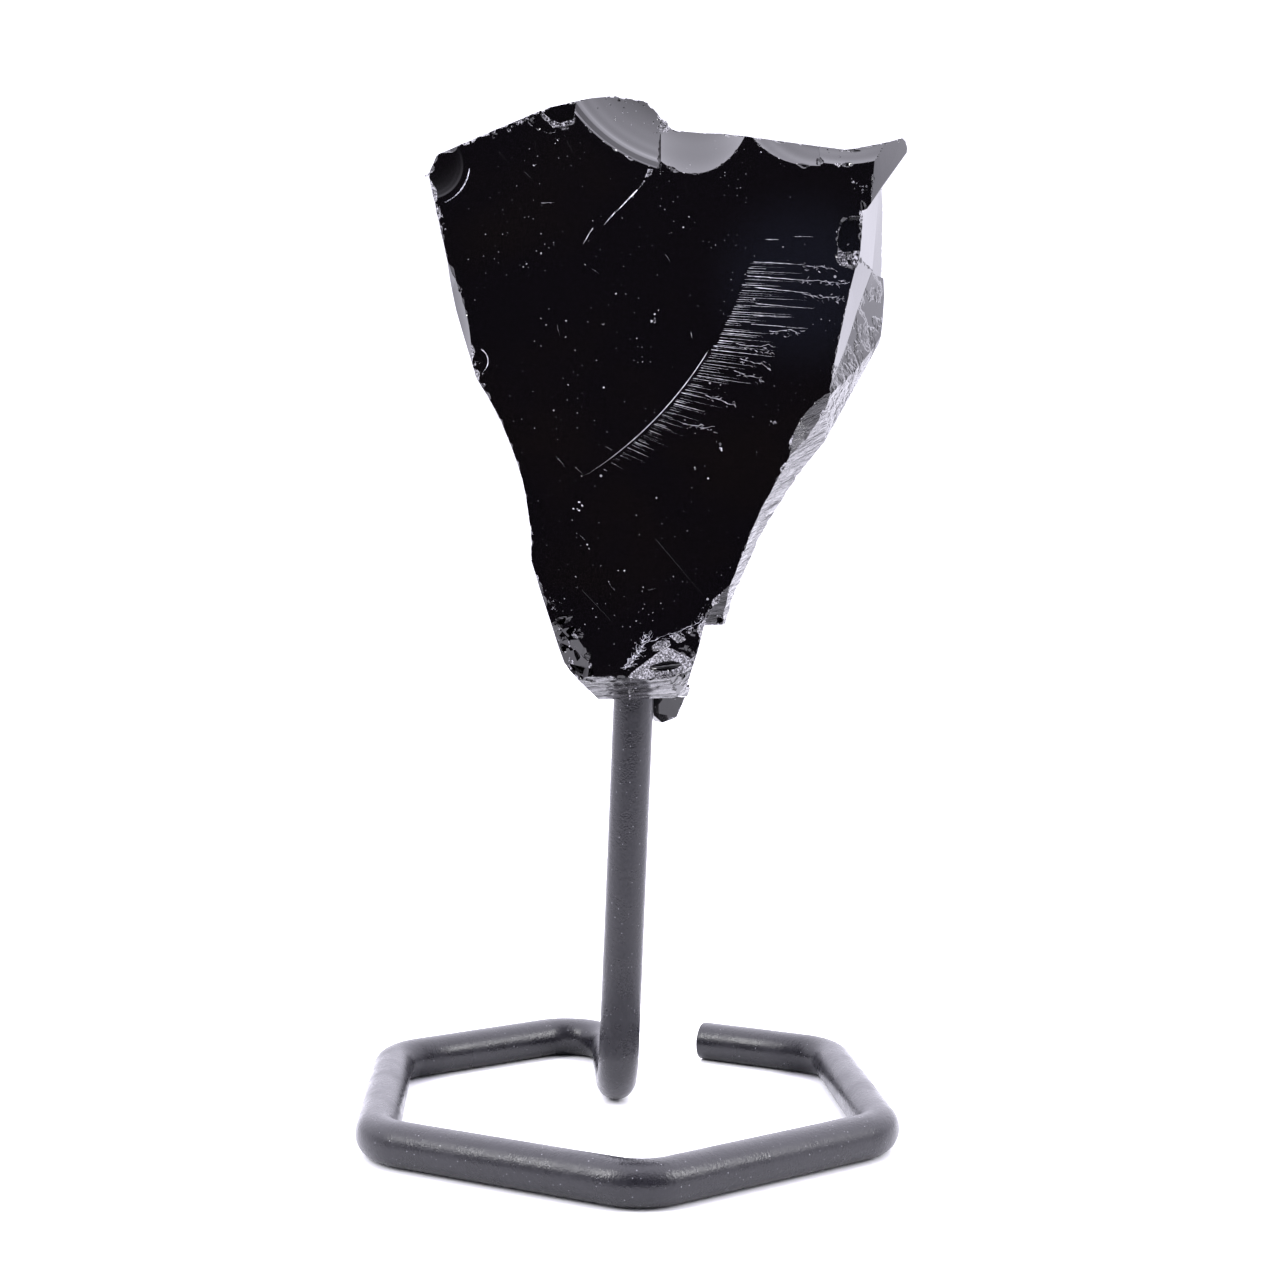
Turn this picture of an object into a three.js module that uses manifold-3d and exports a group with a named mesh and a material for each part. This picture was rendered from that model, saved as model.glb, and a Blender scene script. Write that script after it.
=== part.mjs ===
// An obsidian chunk pinned on a bent rod stand.
// Millimetres, +Z up. The broken glassy front of the stone faces -Y.
// Everything is laid out from the middle of the hexagonal base, on the floor. The whole
// group is then moved so that its origin is on the floor under the middle of its box.
import * as THREE from 'three';
import { ConvexGeometry } from 'three/addons/geometries/ConvexGeometry.js';
import { mergeVertices } from 'three/addons/utils/BufferGeometryUtils.js';
import Module from 'manifold-3d';

const wasm = await Module();
wasm.setup();

// ---------------------------------------------------------------- driving dimensions

const baseMiddle = new THREE.Vector3(-0.6, 2.0, 0.0);

const rodDiameter = 5.0;
const rodSides = 16;

const baseCornerRadius = 33.4;
const baseTurn = THREE.MathUtils.degToRad(4.5);
const baseBend = 6.0;
const baseBendSteps = 6;
const openEndShare = 0.55;
const armBend = 6.0;
const armBendSteps = 10;

const postFoot = new THREE.Vector2(-0.6, 2.5);
const postLean = 0.032;
const postTop = 66.0;
const footBend = 5.0;
const footBendSteps = 8;

const socketGap = 0.32;
const socketSides = 20;
const socketBottom = 44.0;

// The front of the stone is a plane that leans back a little as it rises.
const faceY = -11.0;
const faceZ = 52.0;
const faceLean = Math.tan(THREE.MathUtils.degToRad(3.0));

// Well outside the stone on either side.
const farLeft = -60.0;
const farRight = 60.0;

// ---------------------------------------------------------------- solids

/** Turn a closed geometry into a solid that can be joined and cut. */
function toSolid(geometry) {
  const bare = geometry.index ? geometry.toNonIndexed() : geometry.clone();
  bare.deleteAttribute('normal');
  bare.deleteAttribute('uv');
  const merged = mergeVertices(bare, 1e-4);
  const mesh = new wasm.Mesh({
    numProp: 3,
    vertProperties: new Float32Array(merged.attributes.position.array),
    triVerts: new Uint32Array(merged.index.array),
  });
  return new wasm.Manifold(mesh);
}

/** Turn a solid back into a geometry for a mesh. */
function toGeometry(solid) {
  const mesh = solid.getMesh();
  const geometry = new THREE.BufferGeometry();
  geometry.setAttribute('position', new THREE.BufferAttribute(mesh.vertProperties, 3));
  geometry.setIndex(new THREE.BufferAttribute(mesh.triVerts, 1));
  geometry.computeVertexNormals();
  return geometry;
}

/** The smallest convex block around some corners, each [x, y, z]. */
function block(corners) {
  return toSolid(new ConvexGeometry(corners.map((corner) => new THREE.Vector3(...corner))));
}

/** A ball or a stretched ball that leaves one shell-shaped scar where it is cut away. */
function scar({ centre, radius, stretch = [1, 1, 1], turn = [0, 0, 0], rings = 22, walls = null }) {
  const geometry = new THREE.SphereGeometry(radius, 2 * rings, rings);
  const place = new THREE.Matrix4().compose(
    new THREE.Vector3(...centre),
    new THREE.Quaternion().setFromEuler(new THREE.Euler(...turn.map(THREE.MathUtils.degToRad))),
    new THREE.Vector3(...stretch),
  );
  geometry.applyMatrix4(place);
  const ball = toSolid(geometry);
  if (walls === null) {
    return ball;
  }
  // The flake ended at a wall on either side.
  const [least, most] = walls;
  const height = 6 * radius;
  const between = new THREE.BoxGeometry(most - least, height, height);
  between.translate((least + most) / 2, centre[1], centre[2]);
  return ball.intersect(toSolid(between));
}

// ---------------------------------------------------------------- stand

/** A path that has one section at each station, with the direction known exactly. */
class StationCurve extends THREE.Curve {
  constructor(stations) {
    super();
    this.stations = stations;
  }

  getUtoTmapping(u) {
    return u;
  }

  at(t) {
    return this.stations[Math.round(t * (this.stations.length - 1))];
  }

  getPoint(t) {
    return this.at(t).point.clone();
  }

  getTangent(t) {
    return this.at(t).direction.clone();
  }
}

/** Stations along straight runs that are joined by round bends. */
function bentPath(corners) {
  const stations = [];
  const last = corners.length - 1;
  const heading = (i) => corners[i + 1].point.clone().sub(corners[i].point).normalize();
  stations.push({ point: corners[0].point, direction: heading(0) });
  for (let i = 1; i < last; i += 1) {
    const { point, bend, steps } = corners[i];
    const before = heading(i - 1);
    const after = heading(i);
    const angle = before.angleTo(after);
    const inward = after.clone().addScaledVector(before, -before.dot(after)).normalize();
    const start = point.clone().addScaledVector(before, -bend * Math.tan(angle / 2));
    const centre = start.clone().addScaledVector(inward, bend);
    for (let step = 0; step <= steps; step += 1) {
      const turned = (angle * step) / steps;
      stations.push({
        point: centre.clone()
          .addScaledVector(inward, -bend * Math.cos(turned))
          .addScaledVector(before, bend * Math.sin(turned)),
        direction: before.clone()
          .multiplyScalar(Math.cos(turned))
          .addScaledVector(inward, Math.sin(turned)),
      });
    }
  }
  stations.push({ point: corners[last].point, direction: heading(last - 1) });
  return stations;
}

/** A point on the post's centre line at a height. */
function postPoint(z) {
  const rise = z - rodDiameter / 2;
  return new THREE.Vector3(postFoot.x + postLean * rise, postFoot.y, z);
}

/** Corners of the rod's path: round the open hexagon, in along the arm and up the post. */
function rodCorners() {
  const z = rodDiameter / 2;
  const sideAngle = Math.PI / 3;
  const corner = (i) => {
    const angle = baseTurn + Math.PI / 2 - i * sideAngle;
    return new THREE.Vector3(baseCornerRadius * Math.cos(angle), baseCornerRadius * Math.sin(angle), z);
  };
  const corners = [{ point: corner(1).lerp(corner(0), openEndShare) }];
  for (let i = 1; i <= 5; i += 1) {
    corners.push({ point: corner(i), bend: baseBend, steps: baseBendSteps });
  }
  corners.push({ point: corner(6), bend: armBend, steps: armBendSteps });
  corners.push({ point: postPoint(z), bend: footBend, steps: footBendSteps });
  corners.push({ point: postPoint(postTop) });
  return corners;
}

/** A regular outline whose flat sides stand at the given distance from the centre. */
function flatSidedOutline(sides, flatRadius) {
  const cornerRadius = flatRadius / Math.cos(Math.PI / sides);
  const points = [];
  for (let i = 0; i < sides; i += 1) {
    const angle = (2 * Math.PI * (i + 0.5)) / sides;
    points.push(new THREE.Vector2(cornerRadius * Math.cos(angle), cornerRadius * Math.sin(angle)));
  }
  return new THREE.Shape(points);
}

function standRod() {
  const stations = bentPath(rodCorners());
  return new THREE.ExtrudeGeometry(flatSidedOutline(rodSides, rodDiameter / 2), {
    steps: stations.length - 1,
    extrudePath: new StationCurve(stations),
    bevelEnabled: false,
  });
}

// ---------------------------------------------------------------- stone

/** A corner that lies on the leaning front plane. */
function onFace(x, z) {
  return [x, faceY + (z - faceZ) * faceLean, z];
}

/** The broken block before any flake came off it, without its top peak, ear and knob. */
function roughBlock() {
  return block([
    // front plane, clockwise from the top left
    onFace(-23.6, 113.2), onFace(-22.6, 115.6), onFace(-10.3, 121.0), onFace(14.0, 117.5),
    onFace(28.5, 116.2), onFace(28.2, 111.0), onFace(26.8, 100.0), onFace(24.4, 89.8),
    onFace(12.8, 66.5), onFace(11.5, 60.8), onFace(8.8, 58.4), onFace(2.0, 52.2),
    onFace(-3.0, 51.3), onFace(-7.0, 55.6), onFace(-10.0, 64.5), onFace(-19.4, 94.5),
    // top rim, just behind the front
    [-24.9, -2.0, 114.4], [-24.2, -2.0, 116.0], [-9.0, -3.0, 121.3], [5.0, -3.0, 120.0],
    [28.8, -1.0, 117.9],
    // right side
    [31.3, 4.0, 115.0], [31.2, 4.0, 104.0], [31.7, 4.0, 101.5], [31.7, 4.0, 98.0],
    [31.1, 4.0, 95.7], [26.1, 2.0, 88.0], [18.6, -4.2, 75.4], [14.3, -4.5, 68.9],
    [12.2, -5.0, 63.4], [8.4, 2.0, 53.0],
    // left side
    [-24.9, 1.0, 114.4], [-23.4, 1.0, 105.9], [-20.9, 1.0, 97.4], [-11.5, 1.0, 67.0],
    [-8.0, 2.0, 57.5],
    // underside
    [-3.6, 4.0, 51.6], [7.8, -2.0, 51.8], [6.0, 8.0, 51.8],
    // back
    [-19.0, 13.0, 112.5], [-7.0, 18.5, 117.0], [19.5, 18.0, 115.0], [27.5, 12.0, 106.0],
    [-14.5, 14.5, 96.0], [12.0, 19.0, 92.0], [-4.0, 15.5, 74.0], [8.0, 12.0, 62.0],
  ]);
}

/** The short peak that stands up at the left of the top. */
function topPeak() {
  return block([
    onFace(-11.5, 119.0), onFace(-10.3, 121.0), onFace(-6.6, 121.9), onFace(5.0, 118.5),
    [-9.9, -3.0, 122.1], [-7.9, -3.6, 122.9], [-6.0, -3.0, 123.6], [-3.8, -3.0, 124.0],
    [1.9, -3.0, 123.8], [2.7, -3.0, 123.1], [4.4, -3.0, 121.2], [5.4, -3.0, 119.8],
    [4.4, 4.0, 119.0], [1.0, 5.0, 122.6], [-5.0, 6.0, 122.0], [-10.0, 3.0, 118.0],
  ]);
}

/** The thin pointed ear that overhangs the right side. */
function sideEar() {
  return block([
    // front facet, from the face out to the tip
    [27.9, -7.9, 109.6], [28.4, -7.6, 117.0], [29.3, -6.5, 117.4], [31.2, -4.0, 118.5],
    [32.8, -2.0, 119.5], [33.3, -1.3, 119.3], [33.6, -0.9, 118.6], [33.5, -1.0, 118.0],
    [32.2, -2.6, 116.3], [30.0, -5.5, 112.9],
    // behind it
    [33.1, 0.4, 118.3], [31.0, 1.6, 116.6], [28.4, 2.6, 111.6], [25.0, 6.0, 117.0],
    [26.0, -1.0, 110.0], [25.0, -3.0, 117.7],
  ]);
}

/** The knob left under the foot of the stone, behind the post. */
function footKnob() {
  return block([
    [4.6, 6.2, 48.0], [5.8, 7.4, 48.2], [3.6, 7.6, 48.1],
    [3.0, 5.6, 49.4], [6.4, 5.4, 48.8], [6.9, 7.8, 49.8], [3.2, 8.8, 49.6],
    [2.7, 5.0, 52.0], [5.4, 4.6, 51.6], [7.7, 5.8, 51.8], [7.6, 8.6, 52.0], [4.4, 9.4, 51.6],
    [2.7, 4.8, 55.4], [8.4, 5.4, 54.0], [8.6, 7.8, 55.5], [3.0, 9.4, 55.5],
  ]);
}

/** The tools of the facets that meet in a valley down the right side. */
function sideWedges() {
  return [
    block([
      [23.3, -9.3, 87.4], [21.6, -16.8, 92.0], [24.0, -16.2, 104.0],
      [25.2, -5.0, 91.2], [27.5, -2.4, 98.5], [29.6, 0.0, 104.0],
      [36.8, 12.0, 94.0], [36.8, 12.0, 104.0], [60.0, -16.0, 84.0], [60.0, -16.0, 104.0],
      [60.0, 12.0, 84.0], [60.0, 12.0, 104.0],
    ]),
    block([
      [24.0, -16.2, 103.6], [26.3, -15.7, 114.5], [29.6, 0.0, 103.6], [30.7, 2.2, 114.5],
      [34.4, 12.0, 103.6], [34.8, 12.0, 114.5], [60.0, -16.0, 103.6], [60.0, -16.0, 114.5],
      [60.0, 12.0, 103.6], [60.0, 12.0, 114.5],
    ]),
  ];
}

/** Scars that came off before the ear's underside broke, on the sides. */
const sideScars = [
  // right side of the foot, its front and then its back
  { centre: [88.5, -34.9, 41.0], radius: 84.0, rings: 48 },
  { centre: [63.1, 17.1, 41.3], radius: 60.0, rings: 40 },
  // left side under the corner, then the left side of the foot
  { centre: [-48.4, -22.0, 90.3], radius: 32.9, rings: 36 },
  { centre: [-48.0, -4.0, 67.8], radius: 37.4, rings: 40 },
];

/** Scars on the top, the front outline and the back. */
const laterScars = [
  // front top edge, left to right
  { centre: [8.4, -27.4, 133.5], radius: 28.1, rings: 36, walls: [farLeft, 3.6] },
  {
    centre: [7.4, -11.8, 121.0], radius: 8.0, stretch: [1, 1, 2.4], turn: [-40, 0, 0],
    walls: [3.1, farRight],
  },
  { centre: [22.0, -17.4, 124.6], radius: 14.1, walls: [farLeft, 22.4] },
  { centre: [25.6, -26.0, 132.5], radius: 25.7, rings: 30, walls: [20, farRight] },
  // shallow dish in the top left corner, foot, right edge
  { centre: [-23.6, -8.35, 114.3], radius: 4.9, stretch: [1, 0.22, 1], turn: [-3, 0, 0] },
  { centre: [-9.1, -15.6, 55.5], radius: 7.5 },
  { centre: [27.5, -16.3, 80.6], radius: 11.3 },
  // top and back
  { centre: [18.0, 12.0, 152.0], radius: 35.0, rings: 36 },
  { centre: [-22.0, 34.0, 116.0], radius: 24.0, rings: 30 },
  { centre: [30.0, 42.0, 92.0], radius: 29.0, rings: 30 },
  { centre: [-12.0, 36.0, 66.0], radius: 25.0, rings: 30 },
];

/** A flat-floored bite out of the front, from its outline and its depth. */
function pocket(outline, depth) {
  const clear = 1.5;
  const corners = outline.map(([x, z]) => onFace(x, z));
  return block([
    ...corners.map(([x, y, z]) => [x, y - clear, z]),
    ...corners.map(([x, y, z]) => [x, y + depth, z]),
  ]);
}

/** The tools of the flat breaks at the foot and of the pockets in the front outline. */
function flatBreaks() {
  const underLeft = [-14.0, 0.7].flatMap((x) => [
    [x, -12.5, 55.7], [x, -1.0, 50.0], [x, -12.5, 44.0], [x, -1.0, 44.0],
  ]);
  const underRight = [0.6, 15.0].flatMap((x) => [
    [x, -12.5, 55.6], [x, -1.0, 50.4], [x, -12.5, 44.0], [x, -1.0, 44.0],
  ]);
  const cornerStep = [
    [8.9, -13.0, 61.6], [10.0, -13.0, 63.4], [11.6, -13.0, 64.8], [15.0, -13.0, 66.6],
    [15.0, -13.0, 54.0], [8.9, -13.0, 54.0], [9.2, -10.4, 61.5], [10.2, -10.3, 63.2],
    [11.8, -10.2, 64.6], [15.0, -10.0, 66.4], [9.0, -9.0, 60.2], [12.0, -8.2, 60.4],
    [10.0, -8.0, 54.0], [15.0, -7.4, 58.0],
  ];
  const bevel = [
    [-0.4, -11.6, 55.4], [1.5, -11.4, 57.2], [2.6, -11.2, 59.2], [4.6, -10.6, 58.9],
    [7.0, -9.9, 57.7], [8.4, -8.0, 56.0], [0.0, -9.6, 53.6], [4.0, -13.0, 53.0],
    [9.0, -13.0, 54.6],
  ];
  const notch = [-15.0, 16.0].flatMap((y) => [
    [9.2, y, 60.5], [18.0, y, 61.0], [8.8, y, 57.7], [8.3, y, 55.1], [7.3, y, 52.9], [18.0, y, 52.9],
  ]);
  const besidePeak = [
    [-10.2, 120.7], [-9.2, 119.9], [-8.3, 119.6], [-6.7, 120.1], [-6.2, 124.0], [-10.9, 124.0],
  ];
  const rightNotch = [
    [24.6, 103.8], [24.6, 107.6], [25.6, 109.0], [29.0, 109.6], [29.0, 103.4], [25.2, 103.0],
  ];
  return [
    ...[underLeft, underRight, cornerStep, bevel, notch].map(block),
    pocket(besidePeak, 1.1),
    pocket(rightNotch, 0.8),
  ];
}

/**
 * The front broke from its top left corner. Past one ripple the shell falls back a little,
 * which leaves an arc across the face.
 */
const ripple = { x: -29.3, z: 115.7, radius: 45.0, reach: 84.0, step: 0.06, fall: 2.5 };

function rippleCut() {
  const { x, z, radius, reach, step, fall } = ripple;
  const clear = 6.0;
  const drop = (reach - radius) * Math.tan(THREE.MathUtils.degToRad(fall));
  const profile = [
    new THREE.Vector2(radius, -step),
    new THREE.Vector2(reach, -step - drop),
    new THREE.Vector2(reach, clear),
    new THREE.Vector2(radius, clear),
    new THREE.Vector2(radius, -step),
  ];
  const geometry = new THREE.LatheGeometry(profile, 96);
  const outward = new THREE.Vector3(0, -1, faceLean).normalize();
  const upright = new THREE.Vector3(0, 1, 0);
  geometry.applyQuaternion(new THREE.Quaternion().setFromUnitVectors(upright, outward));
  geometry.translate(...onFace(x, z));
  return toSolid(geometry);
}

/** The drilled blind hole that the post stands in. */
function socket() {
  const flatRadius = rodDiameter / 2 / Math.cos(Math.PI / rodSides) + socketGap;
  const radius = flatRadius / Math.cos(Math.PI / socketSides);
  const from = postPoint(socketBottom);
  const to = postPoint(postTop + socketGap);
  const length = from.distanceTo(to);
  const geometry = new THREE.CylinderGeometry(radius, radius, length, socketSides);
  const upright = new THREE.Vector3(0, 1, 0);
  const direction = to.clone().sub(from).normalize();
  geometry.applyQuaternion(new THREE.Quaternion().setFromUnitVectors(upright, direction));
  const middle = from.clone().lerp(to, 0.5);
  geometry.translate(middle.x, middle.y, middle.z);
  return toSolid(geometry);
}

function obsidianChunk() {
  let stone = roughBlock();
  for (const wedge of sideWedges()) {
    stone = stone.subtract(wedge);
  }
  for (const flake of sideScars) {
    stone = stone.subtract(scar(flake));
  }
  stone = stone.add(topPeak()).add(sideEar()).add(footKnob());
  stone = stone.subtract(rippleCut());
  for (const flake of laterScars) {
    stone = stone.subtract(scar(flake));
  }
  for (const tool of flatBreaks()) {
    stone = stone.subtract(tool);
  }
  return toGeometry(stone.subtract(socket()));
}

// ---------------------------------------------------------------- finishes and assembly

const obsidian = new THREE.MeshStandardMaterial({ color: 0x0e0c10, roughness: 0.06, metalness: 0.0 });
const satinBlack = new THREE.MeshStandardMaterial({ color: 0x2b2b2f, roughness: 0.45, metalness: 0.0 });

function piece(name, geometry, material) {
  const mesh = new THREE.Mesh(geometry, material);
  mesh.name = name;
  return mesh;
}

const part = new THREE.Group();
part.position.copy(baseMiddle);
part.add(piece('stand_rod', standRod(), satinBlack));
part.add(piece('obsidian_chunk', obsidianChunk(), obsidian));

export default part;
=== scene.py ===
"""An obsidian chunk pinned on a bent rod stand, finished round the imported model.

The stone and the rod are worked out in millimetres on a bench whose middle is the middle of
the hexagonal base, on the floor. Each is then set down in metres where the frame has it.
"""

import logging
import math
import random
from collections.abc import Iterable, Sequence
from dataclasses import dataclass
from enum import Enum, IntEnum

import bmesh
import bpy
import numpy as np
from mathutils import Euler, Matrix, Vector
from mathutils.bvhtree import BVHTree


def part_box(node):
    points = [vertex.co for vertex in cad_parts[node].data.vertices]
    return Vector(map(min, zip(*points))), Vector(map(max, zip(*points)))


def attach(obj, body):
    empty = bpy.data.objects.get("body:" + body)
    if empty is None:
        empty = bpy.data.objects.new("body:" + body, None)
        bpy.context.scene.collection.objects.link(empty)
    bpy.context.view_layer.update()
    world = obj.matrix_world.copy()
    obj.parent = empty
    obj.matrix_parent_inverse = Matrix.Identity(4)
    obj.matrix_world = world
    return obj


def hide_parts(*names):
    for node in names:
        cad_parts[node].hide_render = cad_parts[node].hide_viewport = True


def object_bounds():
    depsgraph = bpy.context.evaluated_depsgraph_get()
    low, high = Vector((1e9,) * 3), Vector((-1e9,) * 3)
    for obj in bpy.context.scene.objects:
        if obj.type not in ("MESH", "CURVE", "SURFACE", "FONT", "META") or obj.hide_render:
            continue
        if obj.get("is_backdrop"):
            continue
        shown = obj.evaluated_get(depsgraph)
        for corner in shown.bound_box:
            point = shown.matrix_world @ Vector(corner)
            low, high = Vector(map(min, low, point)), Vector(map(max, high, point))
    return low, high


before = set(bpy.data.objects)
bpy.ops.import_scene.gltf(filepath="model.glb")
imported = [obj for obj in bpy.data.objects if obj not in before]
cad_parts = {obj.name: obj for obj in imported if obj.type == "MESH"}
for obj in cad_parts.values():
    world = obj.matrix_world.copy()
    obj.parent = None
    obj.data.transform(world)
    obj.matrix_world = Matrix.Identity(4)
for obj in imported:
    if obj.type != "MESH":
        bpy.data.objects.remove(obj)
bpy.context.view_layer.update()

log = logging.getLogger("obsidian")

MM = 0.001

# The post's foot across and back from the bench's middle, and how far it leans per height.
POST_X = -0.6
POST_Y = 2.5
POST_LEAN = 0.032


# ------------------------------------------------------------------ shader wiring


class Wire:
    """A shader value that Python arithmetic can be done on."""

    def __init__(self, tree: "ShaderTree", socket: bpy.types.NodeSocket) -> None:
        """Keep the socket and the tree that it belongs to."""
        self.tree = tree
        self.socket = socket

    def __add__(self, other: "Wire | float") -> "Wire":
        """Return self + other."""
        return self.tree.math("ADD", self, other)

    def __radd__(self, other: float) -> "Wire":
        """Return other + self."""
        return self.tree.math("ADD", other, self)

    def __sub__(self, other: "Wire | float") -> "Wire":
        """Return self - other."""
        return self.tree.math("SUBTRACT", self, other)

    def __rsub__(self, other: float) -> "Wire":
        """Return other - self."""
        return self.tree.math("SUBTRACT", other, self)

    def __mul__(self, other: "Wire | float") -> "Wire":
        """Return self * other."""
        return self.tree.math("MULTIPLY", self, other)

    def __rmul__(self, other: float) -> "Wire":
        """Return other * self."""
        return self.tree.math("MULTIPLY", other, self)

    def __truediv__(self, other: "Wire | float") -> "Wire":
        """Return self / other."""
        return self.tree.math("DIVIDE", self, other)

    def above(self, limit: "Wire | float") -> "Wire":
        """Return 1 where self is above the limit, else 0."""
        return self.tree.math("GREATER_THAN", self, limit)

    def below(self, limit: "Wire | float") -> "Wire":
        """Return 1 where self is below the limit, else 0."""
        return self.tree.math("LESS_THAN", self, limit)

    def ramp(self, low: float, high: float) -> "Wire":
        """Return a smooth step from 0 at low to 1 at high.

        Args:
            low: Where the step starts.
            high: Where it ends.

        Returns:
            The step.
        """
        settings = {"interpolation_type": "SMOOTHSTEP"}
        values = {"Value": self, "From Min": low, "From Max": high}
        return self.tree.out("ShaderNodeMapRange", settings, values, "Result")


class ShaderTree:
    """The node tree of one material or world."""

    def __init__(self, tree: bpy.types.NodeTree) -> None:
        """Start from an empty tree."""
        self.tree = tree
        tree.nodes.clear()

    def node(self, kind: str, settings: dict | None = None, values: dict | None = None) -> bpy.types.Node:
        """Add a node.

        Args:
            kind: The node's type.
            settings: The node's own settings, set first.
            values: Values or wires of its inputs, by name or number.

        Returns:
            The node.
        """
        made = self.tree.nodes.new(kind)
        for name, value in (settings or {}).items():
            setattr(made, name, value)
        for key, value in (values or {}).items():
            if isinstance(value, Wire):
                self.tree.links.new(value.socket, made.inputs[key])
            else:
                made.inputs[key].default_value = value
        return made

    def out(self, kind: str, settings: dict | None = None, values: dict | None = None,
            output: str | int = 0) -> Wire:
        """Add a node and return one of its outputs as a wire."""
        return Wire(self, self.node(kind, settings, values).outputs[output])

    def math(self, operation: str, first: "Wire | float", second: "Wire | float" = 0.0) -> Wire:
        """Return a Math node's result on two values."""
        return self.out("ShaderNodeMath", {"operation": operation}, {0: first, 1: second})

    def vector(self, operation: str, first: "Wire | Sequence[float]",
               second: "Wire | Sequence[float]" = (0.0, 0.0, 0.0), output: str = "Vector") -> Wire:
        """Return a Vector Math node's result on two vectors."""
        return self.out("ShaderNodeVectorMath", {"operation": operation}, {0: first, 1: second}, output)

    def colour(self, factor: "Wire | float", first: "Wire | Sequence[float]",
               second: "Wire | Sequence[float]") -> Wire:
        """Return a colour between two colours."""
        return self.out("ShaderNodeMix", {"data_type": "RGBA"}, {0: factor, 6: first, 7: second}, 2)

    def place(self) -> Wire:
        """Return the surface point in millimetres."""
        point = self.out("ShaderNodeTexCoord", output="Object")
        return self.vector("MULTIPLY", point, (1.0 / MM,) * 3)

    def noise(self, place: Wire, size: float, detail: float = 2.0, rough: float = 0.5) -> Wire:
        """Return noise between 0 and 1 whose features have the given size in millimetres."""
        values = {"Vector": place, "Scale": 1.0 / size, "Detail": detail, "Roughness": rough}
        return self.out("ShaderNodeTexNoise", {}, values)

    def specks(self, place: Wire, spacing: float, size: float, share: float) -> Wire:
        """Return 1 on scattered specks.

        Args:
            place: Where on the surface, in millimetres.
            spacing: Distance between places a speck may lie, in millimetres.
            size: Radius of the largest speck, in millimetres.
            share: Share of the places that hold a speck.

        Returns:
            The specks' mask.
        """
        cells = self.node("ShaderNodeTexVoronoi", {}, {"Vector": place, "Scale": 1.0 / spacing})
        chance = self.out("ShaderNodeSeparateColor", {}, {"Color": Wire(self, cells.outputs["Color"])})
        reach = size / spacing * (share - chance) / share
        return Wire(self, cells.outputs["Distance"]).below(reach)

    def stretched(self, place: Wire, turn: Sequence[float], stretch: Sequence[float]) -> Wire:
        """Return a place turned by degrees and stretched, for grain that runs one way.

        Args:
            place: Where on the surface, in millimetres.
            turn: Turn about each axis, in degrees.
            stretch: How many times longer the grain gets along each turned axis.

        Returns:
            The turned and stretched place.
        """
        angles = tuple(math.radians(angle) for angle in turn)
        turned = self.out("ShaderNodeVectorRotate", {"rotation_type": "EULER_XYZ"},
                          {"Vector": place, "Rotation": angles})
        return self.vector("DIVIDE", turned, tuple(stretch))

    def bump(self, height: Wire, depth: float) -> Wire:
        """Return a normal for a height from 0 to 1 that is the given depth in millimetres."""
        return self.out("ShaderNodeBump", {}, {"Strength": 1.0, "Distance": depth * MM, "Height": height})


def new_material(name: str) -> tuple[bpy.types.Material, ShaderTree]:
    """Return an empty material and its tree.

    Args:
        name: The material's name.

    Returns:
        The material and its tree.
    """
    material = bpy.data.materials.new(name)
    material.use_nodes = True
    return material, ShaderTree(material.node_tree)


def close_material(tree: ShaderTree, shader_values: dict) -> None:
    """Add the one glossy shader that the values feed, and the output."""
    shader = tree.out("ShaderNodeBsdfPrincipled", {}, shader_values)
    tree.node("ShaderNodeOutputMaterial", {}, {"Surface": shader})


# ------------------------------------------------------------------ finishes


class Surface(IntEnum):
    """The kinds of break on the stone, in the order of its material slots."""

    GLASSY = 0
    CRUSHED = 1
    STREAKED = 2
    # Frosted white: partly real bruising of pits and scratches, partly a painted glint on the ripple line,
    # the corner crescent and the hackle lines.
    BRUISED = 3
    COMBED = 4
    MOTTLED = 5


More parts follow.
